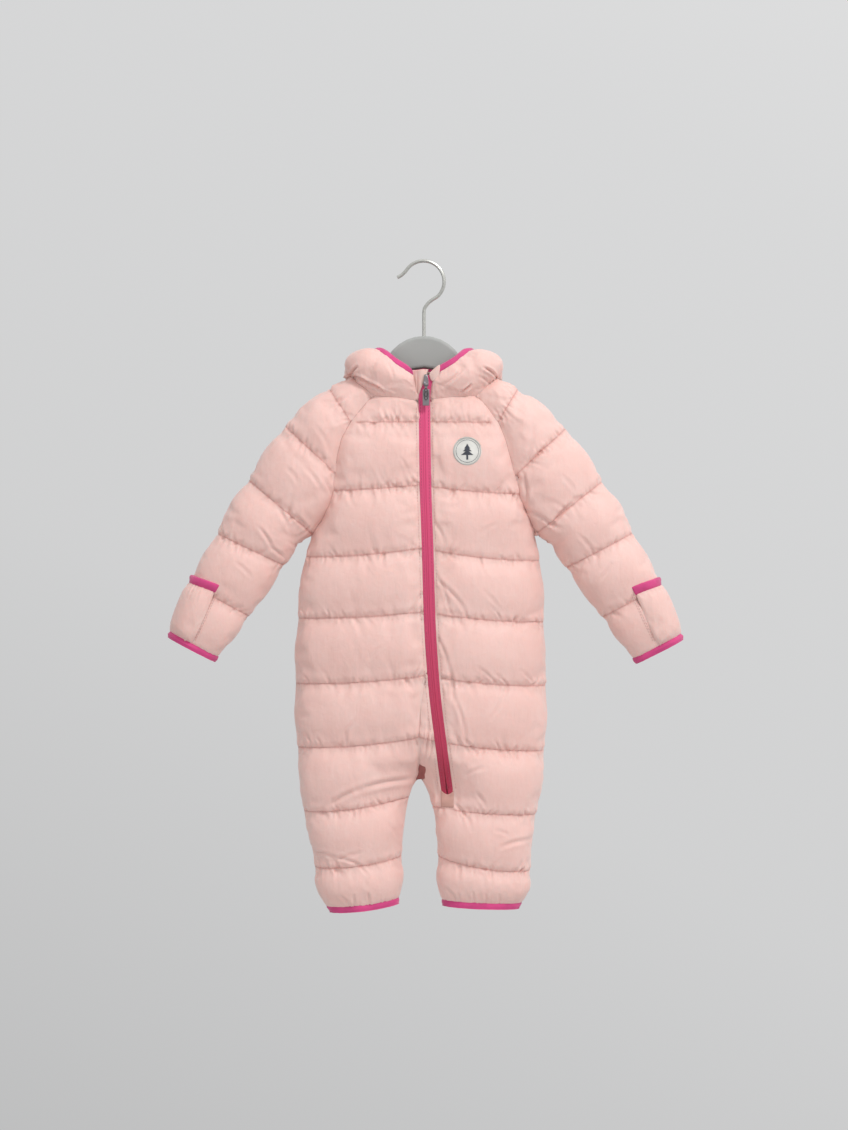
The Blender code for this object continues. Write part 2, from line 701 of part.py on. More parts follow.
def sleeve(side, rows):
    sections = sleeve_sections(side, rows)
    under = next(n for n, section in enumerate(sections) if section["name"] == "under")
    points, thick = [], []
    for section in sections:
        section["inset"] = under_mitt(section, sections)
        line = sleeve_line(side, section, CELLS["sleeve"])
        way = steps(line)
        least = 0.35 * ease(under + 1.0, under - 2.0, section["up"])
        puff = PUFF - NECK_LOSS * ease(len(sections) - 4.0, len(sections) - 3.0, section["up"])
        depths = []
        for n, s in enumerate(way):
            ridge = 1 - RIDGE_LOSS * math.exp(-(((n - CELLS["sleeve"]) / 1.6) ** 2))
            edge = fade(s, SEAM_REACH, least) * fade(way[-1] - s, SEAM_REACH, least)
            depths.append(padding(section["phase"], edge * ridge, puff))
        points.append(line)
        thick.append(depths)
    return Wall(f"sleeve_{side}", points, thick, np.mean(points, axis=(0, 1))), sections


# ---------------------------------------------------------------- hood


def neck_ring(side, front, back_wall, sleeve_wall):
    """Half of the neck seam, from the zip round to the centre of the back."""
    if side == "right":
        fore = front.points[0][::-1]
        aft = back_wall.points[0][: CELLS["back"] + 1]
    else:
        fore = front.points[0][: CELLS["left_front"] + 1][::-1]
        aft = back_wall.points[0][CELLS["back"] + 1 :][::-1]
    return np.vstack([fore, sleeve_wall.points[-1][1:-1], aft])


def hood_line(side, way, neck):
    """The sheet's course from a point of the neck seam to the rim."""
    sign = HALVES[side]
    own = ease(0.1, 0.3, way) * (1 - way)
    share, rise = (1 + (factor[side] - 1) * own for factor in (HOOD_SHARE, HOOD_RISE))
    spread = HOOD_SPREAD[side] if way == 0.0 else 1.0
    at = {name: smooth(HOOD, "way", name, way) for name in HOOD}
    turn = math.radians(at["turn"])
    out = np.array([sign * math.sin(turn), -math.cos(turn), 0.0])
    rim = np.array([sign * at["rim_x"], at["rim_y"], at["rim_z"]])
    span = rim - neck
    along = np.array([out[1], -out[0], 0.0])
    line = [neck]
    for k in (1, 2, 3, 4):
        shift = along * (span @ along) * (k / 5) ** spread
        line.append(neck + shift + out * at[f"out{k}"] * share
                    + np.array([0.0, 0.0, at[f"up{k}"] * rise]))
    return through(line + [rim], 61)


def hood(side, ring):
    """Half of the hood, and the strip beyond its edge that the rim's binding follows."""
    way = steps(ring)
    points, thick, rims = [], [], []
    for n, neck in enumerate(ring):
        line = hood_line(side, way[n] / way[-1], neck)
        length = steps(line)

        def part_of(start, end, cells):
            places = np.linspace(start, end, cells + 1)
            return np.stack([np.interp(places, length, line[:, k]) for k in range(3)], axis=1)

        points.append(part_of(0.0, length[-1] - HOOD_BINDING, CELLS["drop"]))
        rims.append(part_of(length[-1] - HOOD_BINDING, length[-1], 2))
        fore = fade(way[n], SEAM_REACH, 0.1) * fade(way[-1] - way[n], SEAM_REACH, 0.1)
        share = np.linspace(0, 1, CELLS["drop"] + 1)
        thick.append(THIN + (HOOD_PUFF - THIN) * fore * np.sin(math.pi * share) ** 0.9)
    wall = Wall(f"hood_{side}", points, thick, (HALVES[side] * 40.0, 35.0, -130.0))
    return wall, np.array(rims)


def hood_binding(rims):
    """One strip round the whole rim, from the front edge on the right to the one on the left."""
    points = np.vstack([rims["right"], rims["left"][::-1][1:]])
    return Wall("hood_binding", points, [BAND] * len(points), (0.0, 15.0, -125.0))


# ---------------------------------------------------------------- mitts and bindings


def mitt(side, wall, sections):
    """The fold-over mitt over the outer half of the cuff, and the trim along its opening."""
    wrist = next(n for n, section in enumerate(sections) if section["name"] == "wrist")
    first, last = MITT_FIRST, 2 * CELLS["sleeve"] - MITT_FIRST
    core = wall.points[: wrist + 1].mean(axis=(0, 1))
    outer = wall.outer_grid()
    normals = wall.normals[wall.index]
    thick = wall.depth[wall.index]
    points, depths = [], []
    for i in range(wrist + 1):
        row, deep = [], []
        for j in range(first, last + 1):
            place = outer[i, j] + normals[i, j] * REST
            if i == 0:
                place += (outer[1, j] - outer[0, j]) * MITT_CLEAR
            elif i == wrist:
                place += (outer[wrist - 1, j] - outer[wrist, j]) * MITT_CLEAR
            row.append(place)
            across = math.sin(math.pi * (j - first) / (last - first)) ** 0.5
            fill = thick[1 : wrist, j].max() - thick[i, j]
            crown = math.sin(math.pi * (i + 0.4) / (wrist + 1))
            deep.append(MITT_EDGE + across * (fill * 0.8 + MITT_PUFF * crown))
        points.append(row)
        depths.append(deep)
    over = Wall(f"mitt_{side}", points, depths, core, joins=False)
    trim_points, trim_depths = [], []
    for k, share in enumerate(MITT_TRIM):
        row, deep = [], []
        for j in range(first, last + 1):
            start, end = outer[wrist, j], outer[wrist + 1, j]
            normal = normals[wrist, j] + (normals[wrist + 1, j] - normals[wrist, j]) * share
            row.append(start + (end - start) * share + normal * REST)
            deep.append(BAND[k] * 0.85)
        trim_points.append(row)
        trim_depths.append(deep)
    trim = Wall(f"mitt_trim_{side}", trim_points, trim_depths, core, joins=False)
    return over, trim


def ring_binding(name, edge, before, thick):
    """A rounded band that goes on past the open edge of a tube."""
    edge, before = np.array(edge), np.array(before)
    onward = edge - before
    axis = onward.mean(axis=0)
    axis /= np.linalg.norm(axis)
    middle = edge.mean(axis=0)
    points = []
    for share in (0.0, 0.5, 1.0):
        points.append(edge + axis * BINDING * share + (middle - edge) * DRAWN_IN * share**2)
    depths = [[t * share for t in thick] for share in (0.8, 1.0, 0.8)]
    return Wall(name, points, depths, middle, closed=True)


def cuff_binding(side, wall):
    edge, before = wall.points[0][:-1], wall.points[1][:-1]
    count = len(edge)
    thick = [CUFF_BAND + 2.6 * ease(2, 5, min(j, count - j)) for j in range(count)]
    return ring_binding(f"cuff_binding_{side}", edge, before, thick)


def hem_binding(side, front, back_wall):
    cells = CELLS["back"]
    fore = [front.points[k] for k in (-1, -2)]
    if side == "right":
        aft = [back_wall.points[k][: cells + 1] for k in (-1, -2)]
    else:
        aft = [back_wall.points[k][cells + 1 :][::-1] for k in (-1, -2)]
    edge, before = (np.vstack([f, a[::-1][1:-1]]) for f, a in zip(fore, aft))
    return ring_binding(f"hem_binding_{side}", edge, before, [HEM_BAND] * len(edge))


# ---------------------------------------------------------------- zip, badge and hanger


def zip_line(rows, collar):
    """The zip's two edges and its middle, from the top of the collar down to the rounded end."""
    zip_end = next(n for n, row in enumerate(rows) if row["name"] == "zip_end")
    left_edge, right_edge = [], []
    for row in rows[: zip_end + 1]:
        outer, inner = zip_shares(row, rows[zip_end])
        left_edge.append(body_point("left", "front", row, outer))
        right_edge.append(body_point("left", "front", row, inner))
    collar = collar[2 : CELLS["drop"] + 1 : 2][::-1]
    across = np.array([ZIP_WIDTH, 0.0, 0.0])
    return {"right": np.vstack([collar - across, right_edge]), "left": np.vstack([collar, left_edge])}


def zip_tape(side, edges):
    """One tape, from its panel's edge to the middle of the zip, forward of the wall's inner side."""
    start, other = edges[side], edges["left" if side == "right" else "right"]
    count = len(start)
    points, thick = [], []
    for n in range(count):
        across = other[n] - start[n]
        width = min(np.linalg.norm(across) / 2, ZIP_WIDTH / 2)
        toward = across / np.linalg.norm(across)
        near = start[n] + np.array([0.0, TAPE_Y, 0.0])
        far = near + toward * width
        points.append([near, near + (far - near) / 2, far])
        thick.append(TAPE_THICK)
    return Wall(f"zip_tape_{side}", points, thick, BEHIND, joins=False)


def zip_guard(collars):
    """The soft flap behind the open top of the zip."""
    points, thick = [], []
    for n in range(CELLS["drop"], -1, -2):
        right, left = collars["right"][n], collars["left"][n]
        lift = np.array([0.0, GUARD_BACK, 7.0 * n / CELLS["drop"] - 6.0])
        points.append([right + (left - right) * t + lift for t in (-0.2, 0.15, 0.5, 0.85, 1.2)])
        thick.append(GUARD_THICK)
    return Wall("zip_guard", points, thick, BEHIND, joins=False)


def badge(panel_object):
    """A round patch that follows the puff of cloth under it."""
    tree = BVHTree.FromObject(panel_object, bpy.context.evaluated_depsgraph_get())
    points, thick = [], []
    for ring in range(BADGE["rings"] + 1):
        radius = BADGE["radius"] * ring / BADGE["rings"]
        row = []
        for k in range(BADGE["sides"]):
            angle = math.tau * k / BADGE["sides"]
            x = BADGE["x"] + radius * math.cos(angle)
            z = BADGE["z"] + radius * math.sin(angle)
            hit = tree.ray_cast((x * MM, -0.2, z * MM), (0, 1, 0))[0]
            row.append((x, hit.y / MM - REST, z))
        points.append(row)
        thick.append([BADGE["thick"]] * BADGE["sides"])
    return Wall("chest_badge", points, thick, BEHIND, joins=False, closed=True)


def hanger_outline():
    """Half of the hanger's outline from the middle of its top to the middle of its arch."""
    centre_z = HANGER_TOP - CROWN_RADIUS
    top = [(CROWN_RADIUS * math.sin(math.radians(a)), centre_z + CROWN_RADIUS * math.cos(math.radians(a)))
           for a in range(0, 49, 12)]
    arm = [(46.0, -110.5), (58.0, -119.8), (67.0, -126.8)]
    tip = [(118.0, -170.0), (110.0, -177.0)]
    under = [(88.0, -166.0), (62.0, -149.0), (38.0, -130.5), (18.0, -119.0)]
    arch = [(0.0, -116.2)]
    return top, arm, tip, under, arch


def shoulder_rest(wall):
    """The top edge of the hanger's arm, just under the sleeve's inside along the shoulder."""
    ridge = wall.inner[wall.index[:, CELLS["sleeve"]]]
    return sorted((abs(x), z - REST) for x, _, z in ridge if abs(x) < REST_REACH)


def mesh_object(name, points, faces, material):
    mesh = bpy.data.meshes.new(name)
    mesh.from_pydata([tuple(p) for p in np.array(points) * MM], [], faces)
    mesh.materials.append(material)
    mesh.shade_smooth()
    obj = bpy.data.objects.new(name, mesh)
    parts.objects.link(obj)
    return obj


def paint(name, color, roughness, metallic=0.0):
    material = bpy.data.materials.new(name)
    material.use_nodes = True
    shader = material.node_tree.nodes["Principled BSDF"]
    shader.inputs["Base Color"].default_value = (*color, 1.0)
    shader.inputs["Roughness"].default_value = roughness
    shader.inputs["Metallic"].default_value = metallic
    return material


def hanger(walls, material):
    """A flat plate with a round crown and two arms that lie under the shoulders."""
    top, arm, tip, under, arch = hanger_outline()
    outlines = {}
    for side in HALVES:
        outlines[side] = top + arm + shoulder_rest(walls[f"sleeve_{side}"]) + tip + under + arch
    right = [(-x, z) for x, z in outlines["right"]][::-1]
    points = outlines["left"] + right[1:-1]
    curve = bpy.data.curves.new("hanger_body", "CURVE")
    curve.dimensions, curve.fill_mode = "2D", "BOTH"
    spline = curve.splines.new("POLY")
    spline.points.add(len(points) - 1)
    for target, (x, z) in zip(spline.points, points):
        target.co = (x * MM, z * MM, 0.0, 1.0)
    spline.use_cyclic_u = True
    curve.extrude = (HANGER_DEPTH / 2 - HANGER_EDGE) * MM
    curve.bevel_depth, curve.bevel_resolution = HANGER_EDGE * MM, 2
    curve.offset = -HANGER_EDGE * MM
    flat = bpy.data.objects.new("hanger_flat", curve)
    flat.rotation_euler.x = math.pi / 2
    parts.objects.link(flat)
    obj = meshed(flat, "hanger_body", material)
    middle = HANGER_TOP - HOOK_SOCKET / 2 + 3
    cut(obj, tool_cylinder(HOOK_WIRE / 2 + SEAM, HOOK_SOCKET + 6, (0.0, 0.0, middle)))


def meshed(curve_object, name, material):
    """A curve object turned into one closed mesh in its place."""
    bpy.context.view_layer.update()
    shape = curve_object.evaluated_get(bpy.context.evaluated_depsgraph_get())
    mesh = bpy.data.meshes.new_from_object(shape)
    work = bmesh.new()
    work.from_mesh(mesh)
    bmesh.ops.remove_doubles(work, verts=work.verts, dist=1e-5)
    bmesh.ops.recalc_face_normals(work, faces=work.faces)
    work.to_mesh(mesh)
    work.free()
    obj = bpy.data.objects.new(name, mesh)
    obj.matrix_world = curve_object.matrix_world
    mesh.materials.clear()
    mesh.materials.append(material)
    parts.objects.link(obj)
    bpy.data.objects.remove(curve_object)
    return obj


def tool_cylinder(radius, length, place, axis="Z", sides=20):
    """A helper cylinder for a Boolean, hidden from the part."""
    bpy.ops.mesh.primitive_cylinder_add(
        vertices=sides, radius=radius * MM, depth=length * MM, location=[v * MM for v in place],
        rotation=(0, math.pi / 2, 0) if axis == "X" else (0, 0, 0))
    return as_tool(bpy.context.object)


def tool_box(size, place):
    bpy.ops.mesh.primitive_cube_add(size=1.0, location=[v * MM for v in place])
    box = bpy.context.object
    box.scale = [v * MM for v in size]
    bpy.ops.object.transform_apply(location=False, rotation=False, scale=True)
    return as_tool(box)


def as_tool(obj):
    for collection in obj.users_collection:
        collection.objects.unlink(obj)
    cutters.objects.link(obj)
    obj.hide_render, obj.display_type = True, "WIRE"
    return obj


def cut(obj, tool, operation="DIFFERENCE"):
    step = obj.modifiers.new(operation.lower() + str(len(obj.modifiers)), "BOOLEAN")
    step.object, step.operation, step.solver = tool, operation, "EXACT"


def hook(material):
    """The wire hook: an open crown, a slanting run back to the middle, and a straight shank."""
    centre_z = HOOK_WIRE / 2 - HOOK_RADIUS
    points = [(-29.4, -16.3), (-25.2, -14.2)]
    for angle in range(150, -51, -10):
        a = math.radians(angle)
        points.append((HOOK_RADIUS * math.cos(a) - 0.4, centre_z + HOOK_RADIUS * math.sin(a)))
    points += [(6.4, -42.5), (1.2, -49.0), (0.0, -53.5), (0.0, -66.0),
               (0.0, HANGER_TOP - HOOK_SOCKET + 1)]
    line = through([(x, 0.0, z) for x, z in points], 44)
    curve = bpy.data.curves.new("hanger_hook", "CURVE")
    curve.dimensions, curve.use_fill_caps = "3D", True
    curve.bevel_depth, curve.bevel_resolution = HOOK_WIRE / 2 * MM, 2
    spline = curve.splines.new("POLY")
    spline.points.add(len(line) - 1)
    for target, point in zip(spline.points, line):
        target.co = (*(point * MM), 1.0)
    wire = bpy.data.objects.new("hook_line", curve)
    parts.objects.link(wire)
    meshed(wire, "hanger_hook", material).data.shade_smooth()


def slider(front_y, material):
    """The zip's slider: a flat body over the tapes, with two ears and the pin that the tab turns on."""
    height = SLIDER["top"] - SLIDER["bottom"]
    middle = (SLIDER["top"] + SLIDER["bottom"]) / 2
    bpy.ops.mesh.primitive_cube_add(size=1.0, location=(SLIDER["x"] * MM, front_y * MM, middle * MM))
    obj = bpy.context.object
    obj.name = obj.data.name = "zip_slider"
    obj.scale = (SLIDER["width"] * MM, SLIDER["thick"] * MM, height * MM)
    bpy.ops.object.transform_apply(location=False, rotation=False, scale=True)
    for vertex in obj.data.vertices:
        if vertex.co.z < 0:
            vertex.co.x *= 0.72
    move_to_parts(obj, material)
    pin_y, pin_z = pin_place(front_y)
    for sign in (-1, 1):
        reach = front_y - SLIDER["thick"] / 2 - pin_y
        ear = tool_box((1.0, reach + 2.4, 3.2),
                       (SLIDER["x"] + sign * (TAB["ears"] - 0.5), pin_y + reach / 2 - 0.2, pin_z))
        cut(obj, ear, "UNION")
    cut(obj, tool_cylinder(TAB["pin"], 2 * TAB["ears"] - 1.0, (SLIDER["x"], pin_y, pin_z), "X", 12),
        "UNION")


def pin_place(front_y):
    return front_y - SLIDER["thick"] / 2 - TAB["eye"] - 0.4, SLIDER["bottom"] + 1.8


def pull_tab(front_y, material):
    """The flat pull, hanging from the slider's pin by an eye, with its origin on the pin's axis."""
    pin_y, pin_z = pin_place(front_y)
    bpy.ops.mesh.primitive_cylinder_add(
        vertices=16, radius=TAB["eye"] * MM, depth=(2 * TAB["ears"] - 3.0) * MM,
        location=(SLIDER["x"] * MM, pin_y * MM, pin_z * MM), rotation=(0, math.pi / 2, 0))
    obj = bpy.context.object
    obj.name = obj.data.name = "zip_pull_tab"
    bpy.ops.object.transform_apply(location=False, rotation=True, scale=False)
    move_to_parts(obj, material)
    neck = tool_box((2 * TAB["ears"] - 3.0, TAB["thick"], 5.0), (SLIDER["x"], pin_y, pin_z - 3.6))
    plate_length = TAB["length"] - 5.0
    plate = tool_box((TAB["width"], TAB["thick"], plate_length),
                     (SLIDER["x"], pin_y, pin_z - 5.0 - plate_length / 2))
    rounding = plate.modifiers.new("rounding", "BEVEL")
    rounding.width, rounding.segments = 0.8 * MM, 2
    cut(obj, neck, "UNION")
    cut(obj, plate, "UNION")
    cut(obj, tool_cylinder(TAB["pin"] + TAB["clearance"], 20, (SLIDER["x"], pin_y, pin_z), "X", 12))


def move_to_parts(obj, material):
    for collection in obj.users_collection:
        collection.objects.unlink(obj)
    parts.objects.link(obj)
    obj.data.materials.clear()
    obj.data.materials.append(material)


def clear_scene():
    for obj in list(bpy.data.objects):
        bpy.data.objects.remove(obj, do_unlink=True)


def new_collection(name):
    collection = bpy.data.collections.new(name)
    bpy.context.scene.collection.children.link(collection)
    return collection


def make_snowsuit():
    shell = paint("shell_fabric", (0.83, 0.55, 0.50), 0.55)
    trim = paint("trim_fabric", (0.72, 0.07, 0.25), 0.6)
    tape = paint("zip_tape", (0.60, 0.06, 0.20), 0.6)
    metal = paint("zip_metal", (0.35, 0.34, 0.34), 0.4, 0.8)
    patch = paint("badge_fabric", (0.78, 0.77, 0.74), 0.8)
    plate = paint("hanger_paint", (0.37, 0.37, 0.36), 0.5)
    wire = paint("hook_metal", (0.62, 0.62, 0.60), 0.3, 1.0)

    rows = body_rows()
    walls = {"front_right": front_right(rows), "front_left": front_left(rows), "back": back(rows)}
    sections = {}
    for side in HALVES:
        walls[f"sleeve_{side}"], sections[side] = sleeve(side, rows)
    rims = {}
    for side in HALVES:
        ring = neck_ring(side, walls[f"front_{side}"], walls["back"], walls[f"sleeve_{side}"])
        walls[f"hood_{side}"], rims[side] = hood(side, ring)
    trims = [hood_binding(rims)]
    for side in HALVES:
        trims.append(cuff_binding(side, walls[f"sleeve_{side}"]))
        trims.append(hem_binding(side, walls[f"front_{side}"], walls["back"]))
    shared = shared_normals([*walls.values(), *trims])
    for wall in walls.values():
        wall.finish(shared)

    collars = {side: walls[f"hood_{side}"].points[0] for side in HALVES}
    edges = zip_line(rows, collars["left"])
    trims.append(zip_guard(collars))
    tapes = [zip_tape(side, edges) for side in HALVES]
    overs = []
    for side in HALVES:
        over, edging = mitt(side, walls[f"sleeve_{side}"], sections[side])
        overs.append(over)
        trims.append(edging)
    for wall in trims + tapes + overs:
        wall.finish(shared)
    press([*walls.values(), *trims, *tapes])

    objects = {name: wall.build(shell) for name, wall in walls.items()}
    for wall in trims:
        wall.build(shell if wall.name == "zip_guard" else trim)
    for wall in tapes:
        wall.build(tape)
    for wall in overs:
        wall.build(shell)
    patch_wall = badge(objects["front_left"])
    patch_wall.finish(shared)
    patch_wall.build(patch)
    hanger(walls, plate)
    hook(wire)
    top = [p[1] for tape_wall in tapes for p in tape_wall.outer if p[2] > SLIDER["bottom"] - 4]
    front_y = min(top) - REST - SLIDER["thick"] / 2
    slider(front_y, metal)
    pull_tab(front_y, metal)


clear_scene()
parts = new_collection("baby_snowsuit")
cutters = new_collection("cutters")
make_snowsuit()
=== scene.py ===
import json
import math
import random

import bmesh
import bpy
import numpy as np
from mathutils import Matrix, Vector, noise
from mathutils.bvhtree import BVHTree
from mathutils.kdtree import KDTree

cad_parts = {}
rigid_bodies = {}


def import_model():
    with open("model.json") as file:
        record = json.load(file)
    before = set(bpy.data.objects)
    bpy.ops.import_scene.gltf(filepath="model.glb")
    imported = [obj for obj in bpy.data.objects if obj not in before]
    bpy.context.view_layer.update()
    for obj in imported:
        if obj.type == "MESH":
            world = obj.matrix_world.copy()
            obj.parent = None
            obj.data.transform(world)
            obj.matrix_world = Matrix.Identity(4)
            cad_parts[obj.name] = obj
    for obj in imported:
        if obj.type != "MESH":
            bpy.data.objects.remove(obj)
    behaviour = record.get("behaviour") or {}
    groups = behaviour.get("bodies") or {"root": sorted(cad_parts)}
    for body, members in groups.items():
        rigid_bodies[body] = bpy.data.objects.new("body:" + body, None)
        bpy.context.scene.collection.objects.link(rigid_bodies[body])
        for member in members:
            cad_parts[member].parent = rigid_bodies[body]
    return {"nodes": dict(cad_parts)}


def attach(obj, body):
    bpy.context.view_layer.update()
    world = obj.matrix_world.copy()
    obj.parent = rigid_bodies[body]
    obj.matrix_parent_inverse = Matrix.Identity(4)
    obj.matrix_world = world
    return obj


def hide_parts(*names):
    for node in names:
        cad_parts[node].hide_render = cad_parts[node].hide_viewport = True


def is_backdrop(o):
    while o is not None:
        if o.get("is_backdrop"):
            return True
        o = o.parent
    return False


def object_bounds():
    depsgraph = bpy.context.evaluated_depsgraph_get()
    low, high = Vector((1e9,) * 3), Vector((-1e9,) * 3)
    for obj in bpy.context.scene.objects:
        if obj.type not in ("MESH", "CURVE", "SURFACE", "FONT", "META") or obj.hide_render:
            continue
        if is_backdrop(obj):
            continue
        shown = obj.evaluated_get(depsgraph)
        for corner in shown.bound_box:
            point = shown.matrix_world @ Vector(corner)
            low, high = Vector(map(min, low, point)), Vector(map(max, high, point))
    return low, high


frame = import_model()
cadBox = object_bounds()
mm = 0.001
outerSide, innerSide, rimSide = 0, 1, 2     # material numbers of a wall's faces


def deselectAll():
    for obj in bpy.context.view_layer.objects:
        obj.select_set(False)


def makeActive(obj):
    deselectAll()
    obj.select_set(True)
    bpy.context.view_layer.objects.active = obj


def shadeSmooth(obj):
    makeActive(obj)
    bpy.ops.object.shade_smooth()


def addObject(name, data):
    obj = bpy.data.objects.new(name, data)
    bpy.context.scene.collection.objects.link(obj)
    return obj


def openMesh(obj):
    bm = bmesh.new()
    bm.from_mesh(obj.data)
    return bm


def closeMesh(bm, obj):
    bm.to_mesh(obj.data)
    bm.free()


def copyOfNode(nodeName, pieceName):
    # A merged copy of a CAD node, with the pairs of triangles joined to quads
    mesh = frame["nodes"][nodeName].data.copy()
    mesh.materials.clear()
    piece = addObject(pieceName, mesh)
    makeActive(piece)
    bent = math.radians(60)
    bpy.ops.object.mode_set(mode="EDIT")
    bpy.ops.mesh.select_all(action="SELECT")
    bpy.ops.mesh.remove_doubles(threshold=0.00001)
    bpy.ops.mesh.tris_convert_to_quads(face_threshold=bent, shape_threshold=bent)
    bpy.ops.object.mode_set(mode="OBJECT")
    return piece


def recalculated(obj):
    makeActive(obj)
    bpy.ops.object.mode_set(mode="EDIT")
    bpy.ops.mesh.select_all(action="SELECT")
    bpy.ops.mesh.remove_doubles(threshold=0.000005)
    bpy.ops.mesh.normals_make_consistent(inside=False)
    bpy.ops.object.mode_set(mode="OBJECT")


def applyModifier(obj, kind, **settings):
    makeActive(obj)
    modifier = obj.modifiers.new(kind.title(), kind)
    for key, value in settings.items():
        setattr(modifier, key, value)
    bpy.ops.object.modifier_apply(modifier=modifier.name)


def subdivide(obj, levels):
    applyModifier(obj, "SUBSURF", levels=levels, render_levels=levels)


def vectorsOf(items, name):
    values = np.zeros(len(items) * 3)
    items.foreach_get(name, values)
    return values.reshape(-1, 3)


def pointsOf(obj):
    return vectorsOf(obj.data.vertices, "co")


def normalsOf(obj):
    return vectorsOf(obj.data.vertex_normals, "vector")


def setPoints(obj, points):
    obj.data.vertices.foreach_set("co", np.asarray(points, float).ravel())
    obj.data.update()


def wholly(obj, name):
    # True for each vertex that belongs to a group with all its weight
    index = obj.vertex_groups[name].index
    return np.array([any(g.group == index and g.weight > 0.97 for g in vertex.groups)
                     for vertex in obj.data.vertices])


def setGroup(obj, name, indices, weight=1.0):
    group = obj.vertex_groups.get(name) or obj.vertex_groups.new(name=name)
    group.add([int(i) for i in indices], weight, "REPLACE")


def waves(place, size, seed=0.0):
    # Smooth noise from -1 to 1, of waves about size millimetres long
    return noise.noise(Vector(place) / (size * mm) + Vector((seed * 17.3, seed * 5.1, seed * 9.7)))


def smoothStep(low, high, value):
    t = np.clip((value - low) / (high - low), 0.0, 1.0)
    return t * t * (3 - 2 * t)


def srgb(colour, share=1.0):
    # A colour of 0 to 255, or a share of it, as the shader wants it
    def linear(value):
        value /= 255
        return value / 12.92 if value <= 0.04045 else ((value + 0.055) / 1.055) ** 2.4
    return (*(linear(channel * share) for channel in colour), 1.0)


class Nodes:
    # The nodes of a material or of the world: a value that is another node's output is linked
    def __init__(self, owner, shaderName, coordinates):
        owner.use_nodes = True
        self.owner, self.tree = owner, owner.node_tree
        self.shader = self.tree.nodes[shaderName]
        self.place = self.add("TexCoord", output=coordinates)

    def give(self, socket, value):
        if isinstance(value, bpy.types.NodeSocket):
            self.tree.links.new(value, socket)
        else:
            socket.default_value = value

    def add(self, kind, *inputs, output="Fac", **values):
        # Unnamed values go to the first inputs, named ones to an input or a property of that name
        node = self.tree.nodes.new("ShaderNode" + kind)
        for key, value in values.items():
            name = key.replace("_", " ")
            if name in node.inputs:
                self.give(node.inputs[name], value)
            else:
                setattr(node, key, value)
        for socket, value in zip(node.inputs, inputs):
            self.give(socket, value)
        return node.outputs.get(output) or node.outputs[0]

    def ramp(self, factor, *stops):
        # Each stop has a place from 0 to 1 and a colour
        node = self.tree.nodes.new("ShaderNodeValToRGB")
        elements = node.color_ramp.elements
        for k in (0, -1):
            elements[k].position, elements[k].color = stops[k]
        for place, colour in stops[1:-1]:
            elements.new(place).color = colour
        self.give(node.inputs["Fac"], factor)
        return node.outputs["Color"]

    def relief(self, *layers):
        # Bumps on top of one another: each has a height, a strength and a depth in metres
        below = {}
        for height, strength, depth in layers:
            below = {"Normal": self.add("Bump", Height=height, Strength=strength, Distance=depth, **below)}
        self.give(self.shader.inputs["Normal"], below["Normal"])

    def finished(self, **values):
        for key, value in values.items():
            self.give(self.shader.inputs[key.replace("_", " ")], value)
        return self.owner


def newMaterial(name):
    return Nodes(bpy.data.materials.new(name), "Principled BSDF", "Object")


shell = {
    "deep": (234, 191, 182),
    "pale": (242, 205, 197),
    # painted shade: the colour the cloth darkens to in the valley along each seam
    "seam": (206, 130, 120),
    "seamShadeShare": 0.52,
    "crinkles": ((45.0, 0.45, 0.0016), (75.0, -0.55, 0.0011)),     # scale, lean and depth
}


def shellFabric(name):
    n = newMaterial(name)
    clouds = n.add("TexNoise", n.place, Scale=22.0, Detail=4.0, Roughness=0.6)
    stretched = n.add("Mapping", n.place, Scale=(900.0, 900.0, 35.0))
    streaks = n.add("TexNoise", stretched, Scale=1.0, Detail=3.0, Roughness=0.7)
    faded = n.add("Math", clouds, 0.65, operation="MULTIPLY")
    mixed = n.add("Math", streaks, 0.35, faded, operation="MULTIPLY_ADD")
    plain = n.ramp(mixed, (0.30, srgb(shell["deep"])), (0.72, srgb(shell["pale"])))
    # painted shade: the colour darkens towards each seam, where the cloth dips into its valley
    seam = n.add("Attribute", attribute_name="seam")
    seamShade = n.add("Math", seam, shell["seamShadeShare"], operation="MULTIPLY")
    shaded = n.tree.nodes.new("ShaderNodeMix")
    shaded.data_type = "RGBA"
    for k, value in ((0, seamShade), (6, plain), (7, srgb(shell["seam"]))):
        n.give(shaded.inputs[k], value)
    # small crinkles of the thin cloth, and its threads as fine ribs up and across
    crinkle = n.add("TexNoise", n.place, Scale=110.0, Detail=5.0, Roughness=0.6, Distortion=0.5)
    layers = [(crinkle, 0.55, 0.0010)]
    for scale, lean, depth in shell["crinkles"]:
        turned = n.add("Mapping", n.place, Rotation=(0.0, lean, 0.0), Scale=(1.0, 1.0, 0.32))
        folds = n.add("TexNoise", turned, Scale=scale, Detail=2.0, Roughness=0.45, Distortion=0.6)
        layers.append((folds, 0.60, depth))
    ribs = [n.add("TexWave", n.place, bands_direction=way, Scale=320.0, Distortion=1.5, Detail=1.0)
            for way in "XZ"]
    n.relief(*layers, (n.add("Math", *ribs, operation="ADD"), 0.22, 0.00012))
    return n.finished(
        Base_Color=shaded.outputs[2], Roughness=0.55, Sheen_Weight=0.25, Sheen_Roughness=0.45,
        Specular_IOR_Level=0.35, Subsurface_Weight=0.18,     # light passes through the thin cloth
        Subsurface_Radius=(1.0, 0.35, 0.28), Subsurface_Scale=0.006)


def wovenTrim(name, colour, ribs):
    n = newMaterial(name)
    cloud = n.add("TexNoise", n.place, Scale=60.0, Detail=3.0)
    cells = n.add("TexVoronoi", n.place, Scale=ribs, feature="F1")
    grain = n.add("TexNoise", n.place, Scale=ribs * 1.4, Detail=2.0)
    n.relief((cells, 0.5, 0.00025), (grain, 0.25, 0.0002))
    return n.finished(Base_Color=n.ramp(cloud, (0.35, srgb(colour, 0.90)), (0.70, srgb(colour))),
                      Roughness=0.62, Sheen_Weight=0.2, Specular_IOR_Level=0.3)


